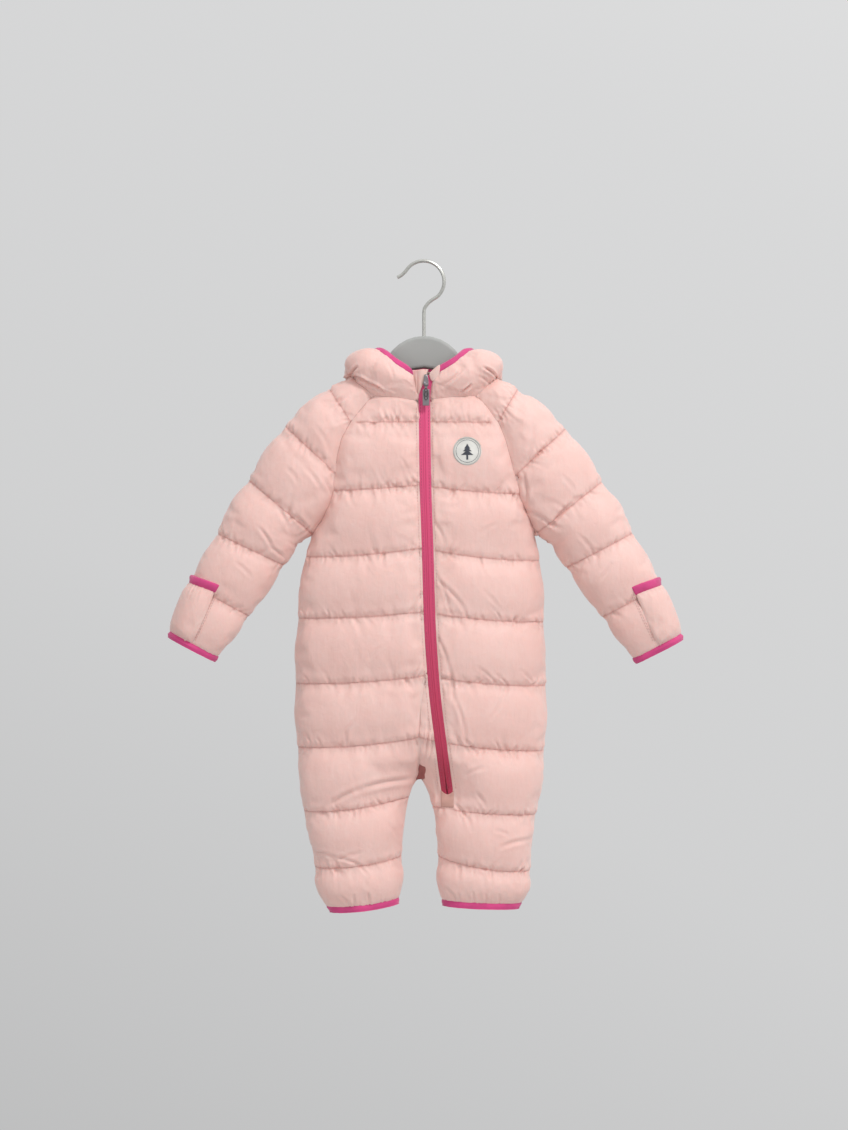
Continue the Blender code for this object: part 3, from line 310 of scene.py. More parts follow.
def zipTape(name, upper, lower):
    # Paler at the neck than at the crotch
    n = newMaterial(name)
    height = n.add("SeparateXYZ", n.place, output="Z")
    down = n.add("MapRange", height, From_Min=-0.16, From_Max=-0.56)
    twill = n.add("TexWave", n.place, Scale=520.0, Distortion=1.0, bands_direction="DIAGONAL")
    grain = n.add("TexNoise", n.place, Scale=900.0, Detail=3.0)
    n.relief((twill, 0.4, 0.0002), (grain, 0.3, 0.0002))
    return n.finished(Base_Color=n.ramp(down, (0.0, srgb(upper)), (1.0, srgb(lower))), Roughness=0.5,
                      Sheen_Weight=0.15, Specular_IOR_Level=0.35)


def twistedThread(name, colour):
    n = newMaterial(name)
    twist = n.add("TexWave", n.place, Scale=900.0, Distortion=2.0, bands_direction="DIAGONAL")
    n.relief((twist, 0.4, 0.0001))
    return n.finished(Base_Color=n.ramp(twist, (0.0, srgb(colour, 0.86)), (1.0, srgb(colour))),
                      Roughness=0.5, Sheen_Weight=0.3)


def metal(name, colour, roughness, scratches=0.12):
    n = newMaterial(name)
    worn = n.add("TexNoise", n.place, Scale=420.0, Detail=4.0, Roughness=0.6)
    uneven = n.add("MapRange", worn, To_Min=roughness - 0.08, To_Max=roughness + 0.14)
    n.relief((worn, scratches, 0.0001))
    return n.finished(Base_Color=n.ramp(worn, (0.0, srgb(colour, 0.80)), (1.0, srgb(colour))),
                      Roughness=uneven, Metallic=1.0)


def paintedPlate(name, colour):
    n = newMaterial(name)
    grain = n.add("TexNoise", n.place, Scale=700.0, Detail=3.0)
    cloud = n.add("TexNoise", n.place, Scale=30.0, Detail=2.0)
    n.relief((grain, 0.18, 0.0002))
    return n.finished(Base_Color=n.ramp(cloud, (0.3, srgb(colour, 0.965)), (0.7, srgb(colour))),
                      Roughness=0.6)


shellMaterial = shellFabric("shell_taffeta")
seamThread = twistedThread("seam_thread", (222, 172, 163))
boxThread = twistedThread("box_thread", (196, 138, 126))
trimMaterial = wovenTrim("trim_elastic", (222, 74, 138), 1500.0)
tapeMaterial = zipTape("zip_tape_woven", (228, 84, 134), (184, 54, 82))
coilMaterial = twistedThread("zip_coil", (176, 44, 92))
patchMaterial = wovenTrim("patch_twill", (226, 176, 163), 1700.0)
# painted shade: the dark colour of the sheet that stands in for the shade under the crotch
crotchShadeMaterial = wovenTrim("crotch_shade_twill", (158, 90, 86), 1700.0)
badgeMaterial = wovenTrim("badge_twill", (232, 230, 224), 2200.0)
badgeThread = twistedThread("badge_overlock", (226, 224, 218))
navyThread = twistedThread("badge_navy", (70, 74, 88))
steel = metal("hook_steel", (222, 222, 216), 0.28, 0.05)
gunmetal = metal("zip_gunmetal", (160, 154, 158), 0.40)
darkMetal = metal("zip_dark_metal", (70, 64, 68), 0.42)
hangerPaint = paintedPlate("hanger_grey", (171, 173, 170))

quilt = {
    "coarseLevels": 2,     # the cloth is settled on this mesh, and then made finer
    "fineLevels": 1,
    "sewnWall": 2.9,       # mm: a thinner wall is sewn
    "frames": 14,          # how long the cloth settles
    "mostOut": 2.2,        # mm that it may move while it settles
    "mostIn": 1.2,
    "mostAside": 1.5,
    "seamCrease": 0.75,
    "rimCrease": 1.0,
    "rimAngle": 50,        # degrees between a wall's sides and its rim
    "insideKept": 0.10,    # share of the faces that the plain inner side keeps
}
clothSettings = {
    "quality": 4,
    "mass": 0.1,
    "air_damping": 2.0,
    "tension_stiffness": 12.0,
    "compression_stiffness": 12.0,
    "shear_stiffness": 4.0,
    "bending_stiffness": 0.05,
    "shrink_min": -0.035,            # slack: a little more cloth than the form needs
    "use_pressure": True,
    "use_pressure_volume": True,     # with no target volume, the sheet needn't be closed
    "target_volume": 0.0,
    "uniform_pressure_force": 14.0,
    "vertex_group_mass": "pinned",
    "pin_stiffness": 5.0,
}


def sidesOf(bm):
    # The outer and the inner faces of a wall: its two largest stretches between sharp edges
    sharp = {e for e in bm.edges if len(e.link_faces) == 2 and e.is_convex
             and e.calc_face_angle(0) > math.radians(quilt["rimAngle"])}
    found, stretches = set(), []
    for start in bm.faces:
        if start in found:
            continue
        stretch, waiting = [], [start]
        found.add(start)
        while waiting:
            face = waiting.pop()
            stretch.append(face)
            for other in (f for edge in face.edges if edge not in sharp for f in edge.link_faces):
                if other not in found:
                    found.add(other)
                    waiting.append(other)
        stretches.append(stretch)
    stretches.sort(key=lambda s: -sum(face.calc_area() for face in s))
    return stretches[0], stretches[1], sharp


def quiltedPiece(nodeName):
    # A panel of the suit: outer cloth blown up between its sewn lines, over a plain inner side
    piece = copyOfNode(nodeName, nodeName + "_quilted")
    for _ in (outerSide, innerSide, rimSide):
        piece.data.materials.append(shellMaterial)
    bm = openMesh(piece)
    bm.verts.ensure_lookup_table()
    bm.verts.index_update()
    outer, inner, sharp = sidesOf(bm)
    for faces, number in ((bm.faces, rimSide), (inner, innerSide), (outer, outerSide)):
        for face in faces:
            face.material_index = number
    tree = BVHTree.FromPolygons([v.co for v in bm.verts], [[v.index for v in f.verts] for f in inner])
    outerVerts = {v for f in outer for v in f.verts}
    sewn = {v.index for v in outerVerts if tree.find_nearest(v.co)[3] < quilt["sewnWall"] * mm}
    rim = {v.index for e in sharp for v in e.verts}
    outside = set(outer)
    flat = {f for f in outer if all(v.index in sewn for v in f.verts)}
    crease = bm.edges.layers.float.new("crease_edge")
    for edge in bm.edges:
        if edge in sharp:
            edge[crease] = quilt["rimCrease"]
            edge.smooth = False
        elif all(v.index in sewn for v in edge.verts) and all(face in outside for face in edge.link_faces):
            edge[crease] = quilt["seamCrease"]
            edge.seam = not any(face in flat for face in edge.link_faces)
    outerIndices = {v.index for v in outerVerts}
    closeMesh(bm, piece)
    everyone = range(len(piece.data.vertices))
    setGroup(piece, "fixed", everyone)
    setGroup(piece, "fixed", outerIndices - sewn - rim, 0.0)
    setGroup(piece, "outer", everyone, 0.0)
    setGroup(piece, "outer", outerIndices)
    subdivide(piece, quilt["coarseLevels"])
    settleCloth(piece)
    subdivide(piece, quilt["fineLevels"])
    if clothAndSeams(piece)[3]:     # the hood and the mitts have no quilting lines
        finerNearSeams(piece)
        gather(piece)
        creaseCloth(piece, len(nodeName) * 7 + len(piece.data.vertices) % 97)
    pressFolds(piece, nodeName)
    thinInside(piece)
    shadeSmooth(piece)
    lowest, highest = edgeSides(piece)     # the rim is sharp, so that each side has its own shading
    piece.data.edges.foreach_set("use_edge_sharp", lowest != highest)
    piece.data.update()
    print(piece.name, len(piece.data.polygons), "faces")
    return piece


def edgeSides(piece):
    # For each edge, the lowest and the highest material number of its faces
    mesh = piece.data
    edgeOf = np.zeros(len(mesh.loops), dtype=int)
    total, kind = np.zeros((2, len(mesh.polygons)), dtype=int)
    mesh.loops.foreach_get("edge_index", edgeOf)
    mesh.polygons.foreach_get("loop_total", total)
    mesh.polygons.foreach_get("material_index", kind)
    lowest, highest = np.full(len(mesh.edges), rimSide + 1), np.full(len(mesh.edges), -1)
    np.minimum.at(lowest, edgeOf, np.repeat(kind, total))
    np.maximum.at(highest, edgeOf, np.repeat(kind, total))
    return lowest, highest


def settleCloth(piece):
    # Blows up the cloth between its sewn lines
    points, normals = pointsOf(piece), normalsOf(piece)
    setGroup(piece, "pinned", np.flatnonzero(wholly(piece, "fixed")))
    sheet = piece.copy()
    sheet.data = piece.data.copy()
    bpy.context.scene.collection.objects.link(sheet)
    origin = sheet.data.attributes.new("origin", "INT", "POINT")
    origin.data.foreach_set("value", np.arange(len(points), dtype=np.int32))
    bm = openMesh(sheet)
    bmesh.ops.delete(bm, geom=[f for f in bm.faces if f.material_index == innerSide], context="FACES")
    closeMesh(bm, sheet)
    cloth = sheet.modifiers.new("Cloth", "CLOTH")
    for key, value in clothSettings.items():
        setattr(cloth.settings, key, value)
    cloth.settings.effector_weights.gravity = 0.0
    cloth.point_cache.frame_start = 1
    cloth.point_cache.frame_end = quilt["frames"]
    for step in range(1, quilt["frames"] + 1):
        bpy.context.scene.frame_set(step)
    makeActive(sheet)
    bpy.ops.object.modifier_apply(modifier=cloth.name)
    kept = np.zeros(len(sheet.data.vertices), dtype=np.int32)
    sheet.data.attributes["origin"].data.foreach_get("value", kept)
    shift = np.zeros_like(points)
    shift[kept] = pointsOf(sheet) - points[kept]
    bpy.context.scene.frame_set(1)
    bpy.data.objects.remove(sheet)
    along = np.einsum("ij,ij->i", shift, normals)
    aside = shift - along[:, None] * normals
    length = np.linalg.norm(aside, axis=1)
    aside *= np.minimum(1.0, quilt["mostAside"] * mm / np.maximum(length, 1e-9))[:, None]
    most, least = quilt["mostOut"] * mm, quilt["mostIn"] * mm
    along = np.where(along > 0, most * np.tanh(along / most), least * np.tanh(along / least))
    setPoints(piece, points + aside + along[:, None] * normals)


def treeOf(points, chosen):
    tree = KDTree(len(chosen))
    for i in chosen:
        tree.insert(Vector(points[i]), i)
    tree.balance()
    return tree


def clothAndSeams(piece):
    # A piece's points and normals, the vertices of its outer cloth, and those on its seams and rim
    outer = wholly(piece, "outer")
    seams = {i for e in piece.data.edges if e.use_seam or e.use_edge_sharp for i in e.vertices if outer[i]}
    return pointsOf(piece), normalsOf(piece), np.flatnonzero(outer), seams


puckers = {
    "fineWithin": 9.0,   # mm from a seam within which the mesh is finer
    "crease": 1.5,       # depth of the narrow creases across a seam
    "creaseWave": 8.5,   # their noise along the seam: two or three creases a wave
    "narrow": 0.17,
    "lean": 0.22,        # how far they fan out
    "billow": 1.0,
    "billowReach": 14.0,
    "wave": 10.0,
    "shortest": 3.5,     # how far they run into the cloth
    "longest": 12.0,
    "start": 1.2,        # from the seam at which they are full
    "patch": 30.0,       # length of the stretches with more and with fewer
    "sag": 0.9,          # the cloth hangs over the seam below it
    "sagFrom": 6.0,
    "sagWide": 5.0,
    "shade": 1.0,        # how far the painted shade at a seam reaches
}


def finerNearSeams(piece):
    # Halves the faces beside the seams, where the gathers are
    points, _, outer, seams = clothAndSeams(piece)
    tree = treeOf(points, seams)
    near = {i for i in outer if tree.find(Vector(points[i]))[2] < puckers["fineWithin"] * mm}
    bm = openMesh(piece)
    faces = [f for f in bm.faces if f.material_index == outerSide and all(v.index in near for v in f.verts)]
    edges = list({e for f in faces for e in f.edges})
    bmesh.ops.subdivide_edges(bm, edges=edges, cuts=1, use_grid_fill=True)
    closeMesh(bm, piece)


def gather(piece):
    # Small gathers that run from the sewn lines into the cloth, and a painted shade value at the seams for the
    # material
    points, normals, outer, seams = clothAndSeams(piece)
    tree = treeOf(points, seams)
    seamShadeValue = np.zeros(len(points))
    for i in outer:
        here = Vector(points[i])
        near = tree.find_n(here, 3)
        gap = near[0][2] / mm
        # painted shade: strongest on the seam, fading into the cloth
        seamShadeValue[i] = math.exp(-gap / puckers["shade"])
        if i in seams or gap > 3.0 * puckers["longest"]:
            continue
        weights = [1.0 / (n[2] + 0.4 * mm) ** 2 for n in near]
        foot = sum((n[0] * w for n, w in zip(near, weights)), Vector()) / sum(weights)
        lean = foot.lerp(here, puckers["lean"])
        patch = 0.6 + 0.75 * waves(foot, puckers["patch"], 3)
        more = max(0.0, 0.35 + 0.9 * waves(foot, 9.0, 5))
        length = puckers["shortest"] + (puckers["longest"] - puckers["shortest"]) * more
        rise = min(1.0, gap / puckers["start"])
        fall = math.exp(-(gap / length) ** 1.5) * rise
        narrow = math.exp(-(waves(lean, puckers["creaseWave"], 1) / puckers["narrow"]) ** 2)
        push = max(0.1, patch) * fall * puckers["crease"] * (0.35 - narrow)
        billow = waves(lean, puckers["wave"], 2) * math.exp(-gap / puckers["billowReach"])
        push += puckers["billow"] * billow * rise
        above = np.clip((here.z - foot.z) / (gap * mm + 1e-9), -1, 1)
        sag = math.exp(-((gap - puckers["sagFrom"]) / puckers["sagWide"]) ** 2)
        push += puckers["sag"] * above * sag * rise
        points[i] += normals[i] * push * mm
    setPoints(piece, points)
    attribute = piece.data.attributes.new("seam", "FLOAT", "POINT")
    attribute.data.foreach_set("value", seamShadeValue)


creases = {
    "area": 430.0,       # mm2 of cloth to a crease
    "nearest": 7.0,      # how far from its seam a crease dies out
    "farthest": 30.0,
    "lean": 14.0,
    "depth": (0.5, 1.7),
    "width": (1.5, 2.7),
    "bow": 0.12,
    "range": (-2.6, 1.6),
    "tries": 4000,
}


def creaseCloth(piece, seed):
    # Creases that start at a seam and die out in the cloth, each in its own plane through the surface
    points, normals, outer, seams = clothAndSeams(piece)
    tree, whole = treeOf(points, sorted(seams)), treeOf(points, outer)
    chance = random.Random(seed)
    area = sum(f.area for f in piece.data.polygons if f.material_index == outerSide) / mm ** 2
    shift = np.zeros(len(points))
    made, tries = 0, 0
    while made < area / creases["area"] and tries < creases["tries"]:
        tries += 1
        tip = int(outer[chance.randrange(len(outer))])
        foot, _, gap = tree.find(Vector(points[tip]))
        beside = tree.find_range(foot, creases["lean"] * mm)
        start = np.array(beside[chance.randrange(len(beside))][0])
        if not creases["nearest"] < gap / mm < creases["farthest"]:
            continue
        made += 1
        run = points[tip] - start
        length = np.linalg.norm(run)
        across = np.cross(run / length, normals[tip])
        across /= max(np.linalg.norm(across), 1e-9)
        depth, width = chance.uniform(*creases["depth"]), chance.uniform(*creases["width"]) * mm
        bow = chance.uniform(-creases["bow"], creases["bow"]) * length
        around = whole.find_range(Vector(start + run / 2), length / 2 + 4 * width)
        near = np.array([found[1] for found in around], dtype=int)
        away = points[near] - start
        share = away @ run / length ** 2
        side = (away @ across - bow * np.sin(np.clip(share, 0, 1) * math.pi)) / width
        taper = np.clip(1 - share, 0, 1) ** 1.2 * np.clip(share / 0.12 + 0.3, 0, 1)
        facing = normals[near] @ normals[tip] > 0.35
        form = -np.exp(-side ** 2) + 0.4 * np.exp(-((np.abs(side) - 1.7) / 0.8) ** 2)
        shift[near] += np.where(facing, depth * taper * form, 0)
    setPoints(piece, points + normals * np.clip(shift, *creases["range"])[:, None] * mm)


# folds listed one by one, in millimetres of the frame: x and z of both ends, depth and width
folds = {
    "front_right": [
        (-104, -595, -70, -576, 2.6, 4.5), (-72, -577, -12, -567, 3, 5), (-1, -358, -15, -384, 1.4, 3),
        (-26, -216, -18, -229, 0.8, 2.6), (-123, -647, -98, -650, 1.6, 3.2), (-99, -650, -68, -660, 1.8, 3.2),
        (-100, -656, -64, -645, 1.2, 3), (-91, -694, -76, -709, 1.8, 2.8), (-77, -692, -77, -708, 1.8, 2.4),
        (-61, -690, -60, -708, 2, 2.4), (-48, -693, -47, -708, 1.6, 2.2), (-10, -520, -6, -556, 2, 3.4),
        (-4, -490, -9, -530, 1.6, 3), (-33, -300, -10, -312, 0.8, 3), (-60, -436, -42, -418, 0.9, 3),
        (-88, -520, -74, -500, 1.1, 3.2), (-40, -612, -28, -632, 1.3, 3.2), (-96, -262, -84, -246, 1, 3.4),
        (-4, -437, -13, -455, 1.6, 2.6), (-136, -377, -131, -391, 1.4, 2.2), (-106, -380, -103, -391, 1.5, 2),
        (-133, -452, -126, -461, 1.4, 2.2), (-117, -520, -112, -531, 1.5, 2.2),
        (-85, -513, -85, -527, 1.4, 2.4), (-130, -515, -123, -530, 1.4, 2.2)],
    "front_left": [
        (11, -286, 23, -310, 1.5, 3), (12, -347, 46, -384, 2, 3.4), (12, -340, 28, -384, 1.5, 3),
        (11, -405, 27, -445, 1.7, 3.2), (27, -442, 31, -481, 2, 3.6), (14, -455, 22, -480, 1.4, 2.8),
        (84, -639, 118, -632, 2.2, 4), (78, -621, 92, -626, 1.2, 3), (56, -579, 67, -595, 1.4, 3),
        (32, -592, 50, -613, 1.7, 3.2), (44, -561, 67, -552, 1.5, 3.4), (37, -691, 38, -708, 1.8, 2.4),
        (53, -689, 54, -708, 2, 2.4), (67, -691, 67, -708, 1.8, 2.4), (82, -692, 82, -707, 1.6, 2.4),
        (23, -685, 41, -706, 1.7, 2.8), (64, -360, 84, -384, 1, 3.2), (88, -470, 72, -500, 1.1, 3.2),
        (60, -300, 78, -288, 0.8, 3.2), (100, -262, 88, -244, 1, 3.4), (42, -520, 58, -540, 1.2, 3.2),
        (4, -500, -1, -546, 2, 2.6), (9, -518, 4, -547, 1.8, 2.4), (8, -556, 15, -590, 1.2, 2.6),
        (58, -443, 79, -462, 1.8, 2.4), (75, -449, 91, -463, 1.5, 2.2), (105, -447, 119, -461, 1.6, 2.4),
        (72, -376, 83, -391, 1.6, 2.2), (30, -470, 46, -527, 1.8, 3), (75, -521, 82, -533, 1.5, 2.2)],
    "sleeve_right": [
        (-109, -238, -99, -260, 2.2, 3.2), (-128, -228, -112, -250, 1.4, 3.4),
        (-179, -292, -165, -315, 1.8, 3.2), (-166, -314, -153, -325, 1.8, 3.2),
        (-159, -271, -146, -296, 1.6, 3.4), (-140, -280, -127, -294, 2.4, 4.2),
        (-205, -330, -188, -346, 1.2, 3), (-120, -180, -104, -204, 1, 3.6),
        (-150, -226, -136, -244, 1.2, 3.4)],
    "sleeve_left": [
        (108, -232, 142, -197, 1.8, 3.6), (108, -232, 110, -272, 2.2, 3.6), (110, -272, 141, -291, 2, 3.4),
        (136, -296, 160, -266, 2.6, 3.8), (120, -174, 108, -228, 1.3, 4), (168, -300, 186, -322, 1.3, 3.2),
        (150, -236, 164, -252, 1.1, 3.2), (204, -330, 190, -350, 1.2, 3)],
    "hood_right": [
        (-96, -130, -78, -123, 4, 2.5), (-79, -124, -73, -117, 3.4, 2.3), (-79, -126, -61, -135, 4.4, 2.5),
        (-62, -134, -44, -145, 4.2, 2.5), (-40, -112, -33, -130, 1, 3)],
    "hood_left": [
        (65, -118, 79, -127, 3.6, 2.4), (80, -128, 91, -131, 2, 2.8), (51, -137, 41, -144, 3.6, 2.2),
        (43, -118, 21, -138, 1.6, 3.4), (60, -128, 74, -136, 1.2, 2.8)],
    "mitt_right": [
        (-256, -352, -260, -370, 1.2, 1.8), (-251, -353, -254, -374, 1.4, 1.8),
        (-246, -354, -249, -370, 1.2, 1.8), (-241, -355, -243, -378, 1.5, 1.9),
        (-236, -356, -238, -371, 1.2, 1.8), (-231, -357, -233, -375, 1.2, 1.8)],
    "mitt_left": [
        (232, -353, 235, -372, 1.2, 1.8), (238, -352, 240, -375, 1.4, 1.8), (244, -351, 247, -369, 1.2, 1.8),
        (249, -350, 253, -373, 1.5, 1.9), (255, -349, 260, -368, 1.2, 1.8)],
    "back": [
        (-60, -300, -34, -322, 1.4, 3.6), (38, -290, 60, -312, 1.4, 3.6), (-20, -380, 10, -366, 1.3, 3.6),
        (-96, -420, -70, -438, 1.5, 3.6), (66, -420, 98, -436, 1.5, 3.6), (-14, -470, -8, -520, 2.2, 4.2),
        (10, -480, 6, -530, 2, 4), (-60, -530, -22, -556, 2.2, 4.2), (60, -528, 24, -556, 2.2, 4.2),
        (-110, -590, -70, -578, 1.8, 3.6), (112, -592, 72, -580, 1.8, 3.6), (-80, -690, -79, -707, 1.8, 2.6),
        (-60, -690, -60, -707, 1.8, 2.6), (58, -690, 58, -707, 1.8, 2.6), (78, -690, 79, -707, 1.8, 2.6)],
}


def pressFolds(piece, nodeName):
    # Presses the table's folds into a piece as soft troughs, each with a low ridge beside it
    points, normals, outer, _ = clothAndSeams(piece)
    seen = normals[:, 1] > -0.1 if nodeName == "back" else normals[:, 1] < 0.1
    flat = points[:, (0, 2)] / mm
    total = np.zeros(len(points))
    for x0, z0, x1, z1, depth, width in folds[nodeName]:
        start, end = np.array((x0, z0), float), np.array((x1, z1), float)
        run = end - start
        share = np.clip(((flat - start) @ run) / (run @ run), 0, 1)
        bow = np.sin(share * math.pi) * 0.05 * np.linalg.norm(run)
        away = flat - (start + share[:, None] * run)
        side = (away @ np.array((-run[1], run[0]))) / np.linalg.norm(run) - bow
        ends = np.linalg.norm(away, axis=1)
        gap = np.where((share > 0) & (share < 1), np.abs(side), ends)
        taper = np.sin(np.clip(share, 0.04, 0.96) * math.pi) ** 0.6
        trough = -np.exp(-(gap / (0.45 * width)) ** 2)
        ridge = 0.45 * np.exp(-((gap - 1.1 * width) / (0.6 * width)) ** 2)
        total += depth * taper * (trough + ridge)
    facing = seen & np.isin(np.arange(len(points)), outer)
    shift = np.where(facing, total, 0.0) * mm
    setPoints(piece, points + shift[:, None] * normals)


def thinInside(piece):
    # The plain inner side needs few faces
    makeActive(piece)
    bpy.ops.object.mode_set(mode="EDIT")
    bpy.ops.mesh.select_all(action="DESELECT")
    bpy.ops.object.mode_set(mode="OBJECT")
    for face in piece.data.polygons:
        face.select = face.material_index == innerSide
    bpy.ops.object.mode_set(mode="EDIT")
    bpy.ops.mesh.select_mode(type="FACE")
    bpy.ops.mesh.decimate(ratio=quilt["insideKept"])
    bpy.ops.object.mode_set(mode="OBJECT")


def finishPiece(piece, replaced=(), body="snowsuit"):
    if replaced:
        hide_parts(*replaced)
    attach(piece, body)
    return piece


print("quilted panels")
quilted = {}
for nodeName in ("front_right", "front_left", "back", "sleeve_right", "sleeve_left",
                 "hood_right", "hood_left", "mitt_right", "mitt_left"):
    quilted[nodeName] = piece = quiltedPiece(nodeName)
    finishPiece(piece, [nodeName])


def smoothCopy(nodeName, pieceName, material, levels, crease):
    # A CAD node's form with finer, rounder faces; its sharp edges keep a share of their sharpness
    piece = copyOfNode(nodeName, pieceName)
    piece.data.materials.append(material)
    bm = openMesh(piece)
    layer = bm.edges.layers.float.new("crease_edge")
    for edge in bm.edges:
        if len(edge.link_faces) == 2 and edge.calc_face_angle(0) > math.radians(40):
            edge[layer] = crease
    closeMesh(bm, piece)
    subdivide(piece, levels)
    shadeSmooth(piece)
    return piece


def rumple(piece, depth, wave, seed):
    # Low soft unevenness, as elastic draws it in
    push = [waves(place, wave, seed) for place in pointsOf(piece)]
    setPoints(piece, pointsOf(piece) + normalsOf(piece) * depth * mm * np.array(push)[:, None])


def drawIn(piece, amount):
    # Elastic pulls a ring's outside in, so that it lies flush with the cloth
    points, normals = pointsOf(piece), normalsOf(piece)
    away = points - points.mean(axis=0)
    away /= np.linalg.norm(away, axis=1)[:, None]
    facing = np.clip(np.einsum("ij,ij->i", away, normals), 0, 1)
    setPoints(piece, points - away * facing[:, None] * amount * mm)


print("bindings")
# length of each strip in metres
bindings = {"hood_binding": 0.310, "cuff_binding_right": 0.150, "cuff_binding_left": 0.150,
            "hem_binding_right": 0.180, "hem_binding_left": 0.190, "mitt_trim_right": 0.078,
            "mitt_trim_left": 0.078}
elastic = {
    "crease": 0.85,
    "rumple": (0.22, 4.5, 7),     # depth, wave and seed
    "drawIn": 1.3,
    "mittSwell": 0.8,
}
trims = {}
for nodeName in bindings:
    piece = smoothCopy(nodeName, nodeName + "_elastic", trimMaterial, 2 if "hood" in nodeName else 3,
                       elastic["crease"])
    if "mitt" in nodeName:
        setPoints(piece, pointsOf(piece) + normalsOf(piece) * elastic["mittSwell"] * mm)
    rumple(piece, *elastic["rumple"])
    if "hem" in nodeName or "cuff" in nodeName:
        drawIn(piece, elastic["drawIn"])
    trims[nodeName] = finishPiece(piece, [nodeName])

print("chin guard")
# it lies over the right tape and ends under the slider
guardShape = {
    "edgeZ": (-160, -150, -142, -135, -128, -119),     # places of its free edge
    "edgeX": (-9.0, -6.5, -3.5, -0.5, 2.5, 5.0),
    "rumple": (0.4, 7.0, 3),
    "up": 5.4,           # how far it is moved
    "forwards": 4.6,
    "groove": 0.9,       # of the stitched line beside its edge
    "grooveX": -7.4,
    "band": 2.5,         # height of the slices in which its width is taken
}
guard = smoothCopy("zip_guard", "zip_guard_cloth", shellMaterial, 3, 0.6)
rumple(guard, *guardShape["rumple"])
points = pointsOf(guard) / mm
points[:, 2] += guardShape["up"] * smoothStep(-150, -125, points[:, 2])
x, z = points[:, 0], points[:, 2]
heights = np.arange(z.min() + 1, z.max(), guardShape["band"])
bands = [x[np.abs(z - height) < guardShape["band"]] for height in heights]
first = np.interp(z, heights, [band.min() for band in bands])
last = np.interp(z, heights, [band.max() for band in bands])
reach = np.clip((x - first) / np.maximum(last - first, 1.0), 0, 1)
points[:, 0] = x = first + reach * (np.interp(z, guardShape["edgeZ"], guardShape["edgeX"]) - first)
points[:, 1] -= guardShape["forwards"] * smoothStep(-12, -2, x)
groove = np.exp(-((x - guardShape["grooveX"]) / 0.9) ** 2) * smoothStep(-118, -130, z)
points[:, 1] += guardShape["groove"] * groove
setPoints(guard, points * mm)
finishPiece(guard, ["zip_guard"])


def thinCloth(name, points, wide, material, thickness, levels=0):
    # A thin piece of cloth through rows of points, each row so many points wide
    mesh = bpy.data.meshes.new(name)
    mesh.from_pydata(points, [], [(k, k + wide, k + wide + 1, k + 1)
                                  for k in range(len(points) - wide) if (k + 1) % wide])
    mesh.materials.append(material)
    piece = addObject(name, mesh)
    applyModifier(piece, "SOLIDIFY", thickness=thickness * mm, offset=0.0)
    if levels:
        subdivide(piece, levels)
    recalculated(piece)
    bpy.ops.object.shade_smooth()
    return piece


# the guard's small counterpart covers the hood binding's end: rows of places in millimetres
facingRows = [
    [(12.8, -34.9, -117.6), (14.2, -36.3, -116.4), (15.8, -36.5, -115.2), (17.6, -34.5, -114.2)],
    [(8.4, -35.4, -121.2), (11.6, -36.6, -120.6), (14.4, -36.9, -119.8), (17.6, -35.8, -119.0)],
    [(5.0, -35.1, -124.8), (8.6, -36.7, -124.8), (12.5, -37.1, -124.6), (17.0, -36.0, -124.2)],
    [(6.0, -35.3, -128.4), (9.2, -36.6, -128.8), (12.2, -36.9, -129.0), (15.6, -36.0, -129.0)],
    [(7.6, -34.9, -132.6), (9.8, -36.0, -132.6), (11.8, -36.3, -132.8), (14.0, -35.6, -132.8)]]
facing = thinCloth("collar_facing", [Vector(place) * mm for row in facingRows for place in row],
                   len(facingRows[0]), shellMaterial, 0.5, 2)
finishPiece(facing)

print("zip tapes")
tapes = []
for side in ("right", "left"):
    piece = smoothCopy("zip_tape_" + side, "zip_tape_" + side + "_woven", tapeMaterial, 2, 0.7)
    points, normals = pointsOf(piece), normalsOf(piece)
    edges = np.sign(normals[:, 0]) * (np.abs(normals[:, 0]) > 0.3)
    points[:, 0] += edges * 0.5 * mm     # they reach under the fronts' edges
    setPoints(piece, points)
    finishPiece(piece, ["zip_tape_" + side])
    tapes.append(piece)

print("seams")


class Surface:
    # What lies under a place seen from the front: used to lay small things on the cloth
    def __init__(self, *objects):
        points, faces = [], []
        for obj in objects:
            start = len(points)
            points += [v.co.copy() for v in obj.data.vertices]
            faces += [[start + i for i in p.vertices] for p in obj.data.polygons]
        self.tree = BVHTree.FromPolygons(points, faces)

    def at(self, x, z, lift=0.0):
        # Place and normal under x, z in millimetres
        hit, normal, _, _ = self.tree.ray_cast(Vector((x * mm, -0.3, z * mm)), Vector((0, 1, 0)))
        return (hit + normal * lift * mm, normal) if hit else (None, None)

    def line(self, flat, lift=0.0):
        found = [self.at(x, z, lift) for x, z in flat]
        found = [(place, normal) for place, normal in found if place]
        return np.array([f[0] for f in found]), np.array([f[1] for f in found])


def panels(*names):
    return Surface(*(quilted[name] for name in names))


mittShape = {"outsideX": 0.256, "outsideZ": -0.352, "slope": 27 / 63, "width": 0.80, "level": 0.25}


def narrowMitt(piece, sign):
    # The turned-back mitt covers the outer two thirds of the cuff, and its top is nearly level
    points = pointsOf(piece)
    x, z = points[:, 0] * sign, points[:, 2]
    outside = mittShape["outsideX"] - (z - mittShape["outsideZ"]) * mittShape["slope"]
    inwards = x - outside
    points[:, 0] = sign * (outside + inwards * mittShape["width"])
    points[:, 2] = z - inwards * mittShape["level"] * smoothStep(-0.415, -0.365, z)
    setPoints(piece, points)


def rimPoints(piece):
    # The vertices between the outer cloth and the wall's rim
    lowest, highest = edgeSides(piece)
    ends = np.zeros(len(piece.data.edges) * 2, dtype=int)
    piece.data.edges.foreach_get("vertices", ends)
    return np.unique(ends.reshape(-1, 2)[(lowest == outerSide) & (highest == rimSide)])


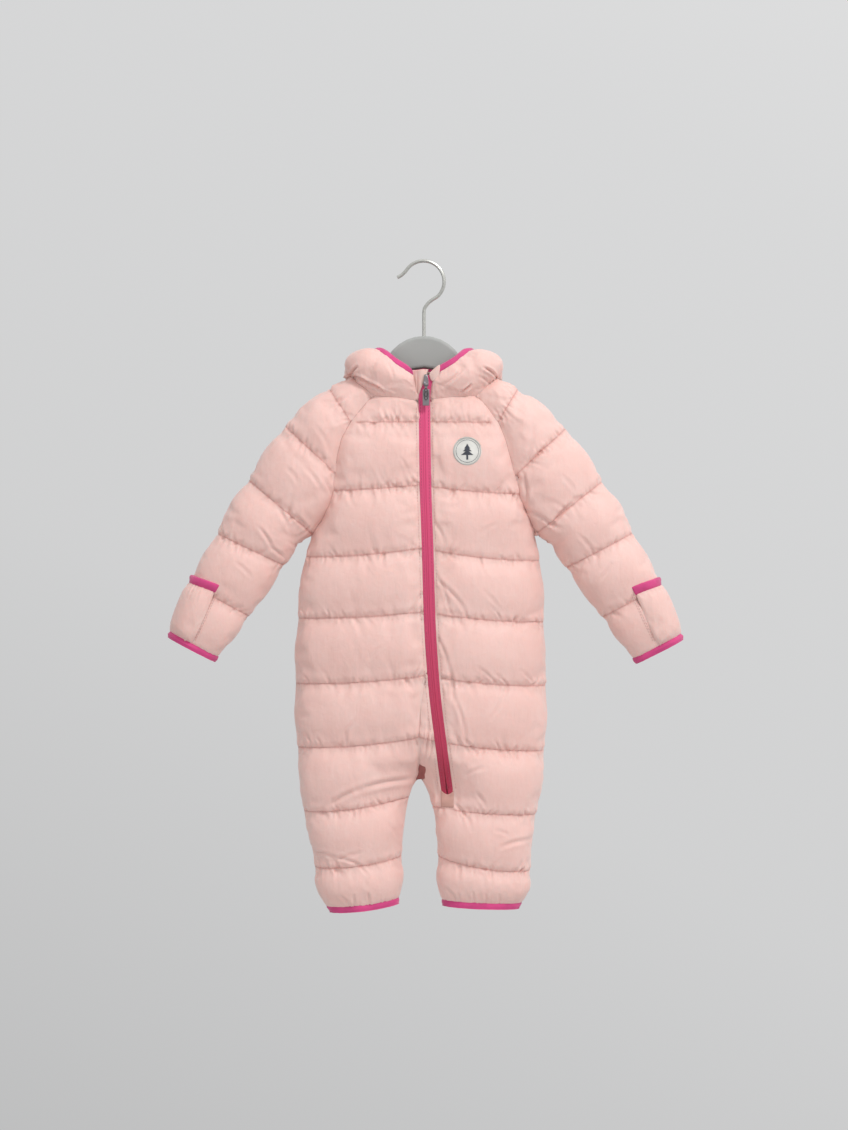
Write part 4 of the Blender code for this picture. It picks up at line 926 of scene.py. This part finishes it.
def tuckInto(piece, trim, farthest, over=0.5, spread=4.0):
    # The cloth's edge reaches a little into the trim that holds it, and the cloth beside it follows
    tree = Surface(trim).tree
    points, shift = pointsOf(piece), {}
    for i in rimPoints(piece):
        place, normal, _, gap = tree.find_nearest(Vector(points[i]))
        if gap < farthest * mm and (Vector(points[i]) - place).dot(normal) > 0:
            way = np.array(place) - points[i]
            shift[i] = way * (1 + over * mm / max(gap, 0.05 * mm))
    if not shift:
        return
    own = treeOf(points, shift)
    for i, place in enumerate(points.copy()):
        _, nearest, gap = own.find(Vector(place))
        if gap < 2.5 * spread * mm:
            points[i] = place + shift[nearest] * math.exp(-(gap / (spread * mm)) ** 2)
    setPoints(piece, points)


# how sewn edges meet: share of the way to the other one, and the gaps at which it is gone all and not at all
meeting = {"panel": (0.56, 1.6, 3.6), "tape": (1.08, 1.6, 3.2)}


def closeGaps(pieces, tapes):
    # Both panels of a seam move half the way, and panels move all the way to a tape
    trees = {piece: Surface(piece).tree for piece in pieces + tapes}
    moved = []
    for piece in pieces:
        points = pointsOf(piece)
        shift, best = np.zeros_like(points), np.full(len(points), 1.0)
        for target in trees:
            if target == piece:
                continue
            share, near, far = meeting["tape" if target in tapes else "panel"]
            low, high = pointsOf(target).min(axis=0) - far * mm, pointsOf(target).max(axis=0) + far * mm
            for i in np.flatnonzero(np.all((points > low) & (points < high), axis=1)):
                place, _, _, gap = trees[target].find_nearest(Vector(points[i]), far * mm)
                if place is None:
                    continue
                way = (np.array(place) - points[i]) * (1 - smoothStep(near * mm, far * mm, gap))
                length = np.linalg.norm(way)
                if 0 < length < best[i]:
                    best[i] = length
                    shift[i] = way * share
        moved.append(points + shift)
    for piece, points in zip(pieces, moved):
        setPoints(piece, points)


for side, sign in (("right", -1), ("left", 1)):
    narrowMitt(quilted["mitt_" + side], sign)
    narrowMitt(trims["mitt_trim_" + side], sign)
for side in ("right", "left"):
    for nodeName, trim, farthest in (
            ("sleeve_" + side, "cuff_binding_" + side, 5.0), ("front_" + side, "hem_binding_" + side, 5.0),
            ("back", "hem_binding_" + side, 5.0), ("mitt_" + side, "mitt_trim_" + side, 9.0),
            ("mitt_" + side, "cuff_binding_" + side, 7.0), ("hood_" + side, "hood_binding", 5.0)):
        tuckInto(quilted[nodeName], trims[trim], farthest)
closeGaps([piece for nodeName, piece in quilted.items() if "mitt" not in nodeName], tapes)

print("stitching")
thread = {"stitch": 2.4, "gap": 1.1, "radius": 0.26, "rise": 0.20, "sink": 0.05}


def layTubes(name, lines, radius, material, sides=0, body="snowsuit"):
    # One piece of thin closed tubes, each along its own line of points in metres
    curve = bpy.data.curves.new(name, "CURVE")
    curve.dimensions = "3D"
    curve.bevel_depth = radius * mm
    curve.bevel_resolution = sides
    curve.use_fill_caps = True
    for line in lines:
        spline = curve.splines.new("POLY")
        spline.points.add(len(line) - 1)
        for point, place in zip(spline.points, line):
            point.co = (*place, 1.0)
    makeActive(addObject(name, curve))
    bpy.ops.object.convert(target="MESH")
    obj = bpy.context.view_layer.objects.active
    recalculated(obj)
    obj.data.materials.clear()
    obj.data.materials.append(material)
    bpy.ops.object.shade_smooth()
    finishPiece(obj, body=body)


def stitchesOn(line, normals):
    # Dashes along a line on cloth: each one dips into it at both ends
    run = np.concatenate([[0], np.cumsum(np.linalg.norm(np.diff(line, axis=0), axis=1))])
    pitch = (thread["stitch"] + thread["gap"]) * mm
    dashes = []
    for k in range(int(run[-1] / pitch)):
        dash = []
        for share, lift in ((0.0, -thread["sink"]), (0.5, thread["rise"]), (1.0, -thread["sink"])):
            at = (k + 0.15) * pitch + share * thread["stitch"] * mm
            place, out = (np.array([np.interp(at, run, values[:, c]) for c in range(3)])
                          for values in (line, normals))
            dash.append(place + out / max(np.linalg.norm(out), 1e-9) * lift * mm)
        dashes.append(dash)
    return dashes


def stitchedLines(name, surface, lines, material):
    # Stitches along lines of places in millimetres, laid on a surface
    found = [surface.line(flat) for flat in lines]
    dashes = [dash for line, normals in found if len(line) > 3 for dash in stitchesOn(line, normals)]
    layTubes(name, dashes, thread["radius"], material)


def chainsOf(chosen):
    # The chosen edges of a mesh as chains of vertex numbers
    joined = {}
    for edge in chosen:
        a, b = edge.vertices
        joined.setdefault(a, []).append(b)
        joined.setdefault(b, []).append(a)
    used, chains = set(), []
    ends = [v for v in joined if len(joined[v]) != 2] + list(joined)
    for start in ends:
        for first in joined[start]:
            if (start, first) in used:
                continue
            chain = [start, first]
            used |= {(start, first), (first, start)}
            while len(joined[chain[-1]]) == 2:
                onward = [v for v in joined[chain[-1]] if (chain[-1], v) not in used]
                if not onward:
                    break
                used |= {(chain[-1], onward[0]), (onward[0], chain[-1])}
                chain.append(onward[0])
            chains.append(chain)
    return chains


for nodeName, piece in quilted.items():
    points, normals = pointsOf(piece), normalsOf(piece)
    chains = [chain for chain in chainsOf([e for e in piece.data.edges if e.use_seam]) if len(chain) > 3]
    dashes = [dash for chain in chains for dash in stitchesOn(points[chain], normals[chain])]
    if dashes:
        layTubes(nodeName + "_stitches", dashes, thread["radius"], seamThread)

zipShape = {
    "step": 8.0,         # mm between the heights at which the tapes are measured
    "coilAside": 1.15,
    "coilRadius": 0.95,
    "coilLift": -0.35,
    "frontStitch": 2.4,  # from the tapes' edges
    "tapeStitch": 4.2,   # from the coil's middle
    "box": [(19, -583), (32, -583), (32, -597), (19, -597), (19, -583), (32, -597)],
}
# at each height of the zip: z, the outer edges of both tapes and the line between them, in millimetres
rightTape, leftTape = (pointsOf(tape) / mm for tape in tapes)
heights = np.concatenate([rightTape[:, 2], leftTape[:, 2]])
zipRows = []
for z in np.arange(heights.max() - 3, heights.min() + 4, -zipShape["step"]):
    right, left = (tape[np.abs(tape[:, 2] - z) < 6.0, 0] for tape in (rightTape, leftTape))
    if len(right) and len(left):
        zipRows.append((z, right.min(), left.max(), (right.max() + left.min()) / 2))


def besideZip(aside, columns=(3, 3), first=0):
    # The lines on both sides of the zip, so far outside two columns of its rows
    return [[(row[column] + sign * aside, row[0]) for row in zipRows[first:]]
            for column, sign in zip(columns, (-1, 1))]


tapeSurface, frontSurface = Surface(*tapes), panels("front_right", "front_left")
cords = [tapeSurface.line(flat, zipShape["coilLift"])[0] for flat in besideZip(zipShape["coilAside"])]
layTubes("zip_coil_cover", cords, zipShape["coilRadius"], tapeMaterial, 1)
stitchedLines("zip_topstitch", frontSurface, besideZip(zipShape["frontStitch"], (1, 2)), seamThread)
stitchedLines("zip_tape_stitches", tapeSurface, besideZip(zipShape["tapeStitch"], first=3), coilMaterial)
box = np.array(zipShape["box"])
sides = [[start + (end - start) * share for share in np.linspace(0, 1, 8)] for start, end in zip(box, box[1:])]
stitchedLines("zip_end_box", frontSurface, sides, boxThread)

print("hanger")
finishPiece(smoothCopy("hanger_hook", "hook_wire", steel, 2, 0.5), ["hanger_hook"])
hangerNode = frame["nodes"]["hanger_body"]
hangerNode.data.materials.clear()
hangerNode.data.materials.append(hangerPaint)

print("patches")


def patchOn(surface, name, corners, material, rise=0.0, settle=0, steps=12, lift=0.35):
    # A thin piece of cloth laid on the surface between four corners, its upper edge curved up at both ends
    a, b, c, d = (np.array(corner, float) for corner in corners)
    points = []
    for v in np.linspace(0, 1, steps):
        for u in np.linspace(0, 1, steps):
            x, z = (a * (1 - u) + b * u) * (1 - v) + (d * (1 - u) + c * u) * v
            z += rise * (2 * u - 1) ** 2 * (1 - v)
            place = surface.at(x, z, lift)[0]
            if place is None:     # a ray may pass between two pieces
                place = surface.tree.find_nearest(Vector((x * mm, points[-1].y, z * mm)))[0]
            points.append(Vector((x * mm, place.y, z * mm)))
    depth = np.array([place.y for place in points]).reshape(steps, steps)
    for _ in range(settle):
        wide = np.pad(depth, 1, mode="edge")
        depth = (wide[:-2, 1:-1] + wide[2:, 1:-1] + wide[1:-1, :-2] + wide[1:-1, 2:]) / 4
    for place, y in zip(points, depth.ravel()):
        place.y = y
    return finishPiece(thinCloth(name, points, steps, material, 0.4))


endSurface = Surface(quilted["front_right"], quilted["front_left"], *tapes)
endPatch = patchOn(endSurface, "zip_end_patch", [(18.5, -583), (32.5, -583), (32.5, -597), (18.5, -597)],
                   patchMaterial, rise=4.5, settle=2)
# painted shade: a dark sheet laid in front of the crotch's valley stands in for the shade there
crotchShadeSheet = patchOn(frontSurface, "crotch_shade_sheet", [(-4.8, -548), (4.6, -548), (0.5, -567), (-8.6, -568)],
                 crotchShadeMaterial, settle=16)

# seam allowance that shows where three panels meet: cushions of cloth, with place and radii in millimetres
corners = [((-57.2, -20.0, -147.3), (5.0, 3.2, 4.4)), ((60.2, -20.0, -147.6), (5.4, 3.4, 4.8)),
           ((3.2, -40.2, -454.0), (2.4, 2.2, 4.6)), ((-8.5, -28.6, -152.6), (2.8, 1.6, 2.8)),
           ((8.7, -28.6, -151.2), (2.8, 1.6, 2.8)), ((123.6, -3.0, -297.4), (3.4, 8.0, 3.4))]
cushions = []
for place, radii in corners:
    deselectAll()
    bpy.ops.mesh.primitive_uv_sphere_add(segments=20, ring_count=12, location=[c * mm for c in place])
    cushions.append(bpy.context.view_layer.objects.active)
    cushions[-1].scale = [r * mm for r in radii]
    bpy.ops.object.transform_apply(location=True, rotation=True, scale=True)
for cushion in cushions:
    cushion.select_set(True)
filler = bpy.context.view_layer.objects.active = cushions[0]
bpy.ops.object.join()
filler.name = "seam_corners"
filler.data.materials.append(shellMaterial)
bpy.ops.object.shade_smooth()
finishPiece(filler)

print("raglan and mitt seams")


def evenly(corners, count):
    # Places at even shares between the corners of a line
    shares = np.linspace(0, len(corners) - 1, count)
    return np.stack([np.interp(shares, range(len(corners)), values) for values in zip(*corners)], axis=1)


def valleyLine(surface, flat, reach=4.0, lift=-0.1):
    # Follows the lowest line of a seam near the given one
    line = []
    for x, z in flat:
        found = [surface.at(x + aside, z, lift) for aside in np.arange(-reach, reach + 0.1, 0.5)]
        deepest = max((f for f in found if f[0] is not None), key=lambda f: f[0].y)
        line.append(np.array(deepest[0]))
    line = np.array(line)
    for _ in range(3):
        line[1:-1] = (line[:-2] + 2 * line[1:-1] + line[2:]) / 4
    return line


seamLines = {
    "raglan": [(57, -151), (77, -174), (90, -197), (96, -222)],
    "raglanRadius": 0.38,
    "mitt": [(227, -364), (238, -390), (251, -416)],
    "mittAside": 0.9,    # of its two rows of stitches
}
shoulders = panels("front_right", "front_left", "sleeve_right", "sleeve_left")
cords = [valleyLine(shoulders, evenly(seamLines["raglan"], 40) * (sign, 1)) for sign in (-1, 1)]
layTubes("raglan_cord", cords, seamLines["raglanRadius"], seamThread, sides=1)
cuffs = panels("sleeve_right", "sleeve_left", "mitt_right", "mitt_left")
lines = [evenly(seamLines["mitt"], 24) * (sign, 1) + (side * seamLines["mittAside"], 0)
         for sign in (-1, 1) for side in (-1, 1)]
stitchedLines("mitt_seam_stitches", cuffs, lines, seamThread)

print("badge")
badge = smoothCopy("chest_badge", "chest_badge_twill", badgeMaterial, 2, 0.6)
finishPiece(badge, ["chest_badge"])
emblem = {
    "x": 46.9,
    "z": -209.1,
    "edge": 15.2,
    "ring": 12.2,
    "overlocks": 110,
    "dashes": 44,
    "firTop": 8.0,
    "rows": 34,
    "rowStep": 0.5,
    "tiers": [(8.0, 3.2, 3.4), (4.8, 0.2, 5.0), (1.6, -3.6, 6.6)],     # top, foot and half width
    "edgeThread": 0.42,
    "satinThread": 0.27,
}
badgeSurface = Surface(badge)


def onBadge(*places):
    # A stitch through places from the badge's centre: x, z and lift in millimetres
    stitch = []
    for x, z, lift in places:
        stitch += list(badgeSurface.line([(emblem["x"] + x, emblem["z"] + z)], lift)[0])
    return stitch


def around(radius, turn, lift):
    return radius * math.cos(turn), radius * math.sin(turn), lift


overlock, navy = [], []
for k in range(emblem["overlocks"]):
    turn = 2 * math.pi * k / emblem["overlocks"]
    overlock.append(onBadge(*(around(emblem["edge"] + out, turn, lift)
                              for out, lift in ((-1.3, 0.05), (-0.5, 0.42), (0.3, 0.30)))))
overlock = [dash for dash in overlock if len(dash) > 1]
layTubes("badge_edge", overlock, emblem["edgeThread"], badgeThread)
for k in range(emblem["dashes"]):
    navy.append(onBadge(*(around(emblem["ring"], 2 * math.pi * (k + share) / emblem["dashes"], lift)
                          for share, lift in ((0.1, 0.0), (0.5, 0.25), (0.9, 0.0)))))
# a small fir: rows of satin stitches, in three tiers over a trunk
for row in range(emblem["rows"]):
    height = emblem["firTop"] - row * emblem["rowStep"]
    half = max((width * (top - height) / (top - foot) for top, foot, width in emblem["tiers"]
                if foot <= height <= top), default=1.0)
    navy.append(onBadge(*((share * max(half, 0.5), height - 0.5, lift)
                          for share, lift in ((-1, 0.02), (-0.4, 0.30), (0.4, 0.30), (1, 0.02)))))
navy = [dash for dash in navy if len(dash) > 2]
layTubes("badge_fir", navy, emblem["satinThread"], navyThread)

print("slider and pull tab")
sliderTaper = {"z": (-0.1345, -0.1255), "width": (0.86, 0.40)}
slider = smoothCopy("zip_slider", "zip_slider_metal", gunmetal, 2, 0.8)
points = pointsOf(slider)
middle = (points[:, 0].max() + points[:, 0].min()) / 2
width = np.interp(points[:, 2], sliderTaper["z"], sliderTaper["width"])
points[:, 0] = middle + (points[:, 0] - middle) * width
setPoints(slider, points)
finishPiece(slider, ["zip_slider"])
tab = smoothCopy("zip_pull_tab", "zip_pull_tab_metal", gunmetal, 2, 0.8)
finishPiece(tab, ["zip_pull_tab"], body="zip_pull")
relief = {"ovals": ((2.3, 6.4), (1.2, 3.0)), "radius": 0.30, "sink": 0.02}
points = pointsOf(tab) / mm
x, _, z = (points.max(axis=0) + points.min(axis=0)) / 2
front = points[:, 1].min() - relief["sink"]
ovals = [[np.array((x + wide * math.cos(turn), front, z + high * math.sin(turn))) * mm
          for turn in np.linspace(0, 2 * math.pi, 25)] for wide, high in relief["ovals"]]
layTubes("pull_tab_relief", ovals, relief["radius"], darkMetal, 1, "zip_pull")

print("studio")
studio = {
    "cameraAway": 3.0,
    "cameraHeight": -0.3326,
    "seen": 1.243,       # height of the frame at the garment
    "sensor": 36,
    "floor": (206, 206, 206),
    "floorRadius": 1.35,
    "floorHeight": -1.31,
}
cameraData = bpy.data.cameras.new("camera")
camera = addObject("camera", cameraData)
bpy.context.scene.camera = camera
cameraData.sensor_fit = "VERTICAL"
cameraData.sensor_height = studio["sensor"]
cameraData.lens = studio["sensor"] * studio["cameraAway"] / studio["seen"]
camera.location = (0, -studio["cameraAway"], studio["cameraHeight"])
camera.rotation_euler = (math.pi / 2, 0, 0)

deselectAll()
bpy.ops.mesh.primitive_cylinder_add(vertices=96, radius=studio["floorRadius"], depth=0.02,
                                    location=(0, 0, studio["floorHeight"]))
floor = bpy.context.view_layer.objects.active
floor.name = "floor"
bpy.ops.object.transform_apply(location=True, rotation=True, scale=True)
floor.data.materials.append(paintedPlate("floor_paint", studio["floor"]))
floor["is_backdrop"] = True

# a pale sky: brightest above, dim below, and a little darker on the left
sky = Nodes(bpy.data.worlds.new("sky"), "Background", "Generated")
bpy.context.scene.world = sky.owner
lean = sky.add("Math", sky.add("SeparateXYZ", sky.place, output="X"), 0.55,
               sky.add("SeparateXYZ", sky.place, output="Z"), operation="MULTIPLY_ADD")
level = sky.add("MapRange", lean, From_Min=-1.0, From_Max=1.0)
greys = [(place, (grey, grey * 1.003, grey * 1.008, 1))
         for place, grey in ((0.34, 0.50), (0.47, 0.635), (0.60, 0.69))]
sky.finished(Color=sky.ramp(level, (0.0, (0.22, 0.22, 0.22, 1)), *greys, (1.0, (1.0, 1.0, 1.0, 1))))
bpy.context.scene.view_settings.view_transform = "Standard"

lights = {     # place, size in metres and power in watts
    "key": ((1.0, -1.6, 1.4), 0.45, 25),
    "fill": ((-1.3, -2.2, -0.5), 1.4, 6),
}
for name, (place, size, power) in lights.items():
    data = bpy.data.lights.new(name, "AREA")
    data.shape, data.size, data.energy = "DISK", size, power
    light = addObject(name, data)
    light.location = place
    light.rotation_euler = (Vector((0, 0, -0.45)) - Vector(place)).to_track_quat("-Z", "Y").to_euler()

size = {"cad": [list(corner) for corner in cadBox], "visual": [list(corner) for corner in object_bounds()]}
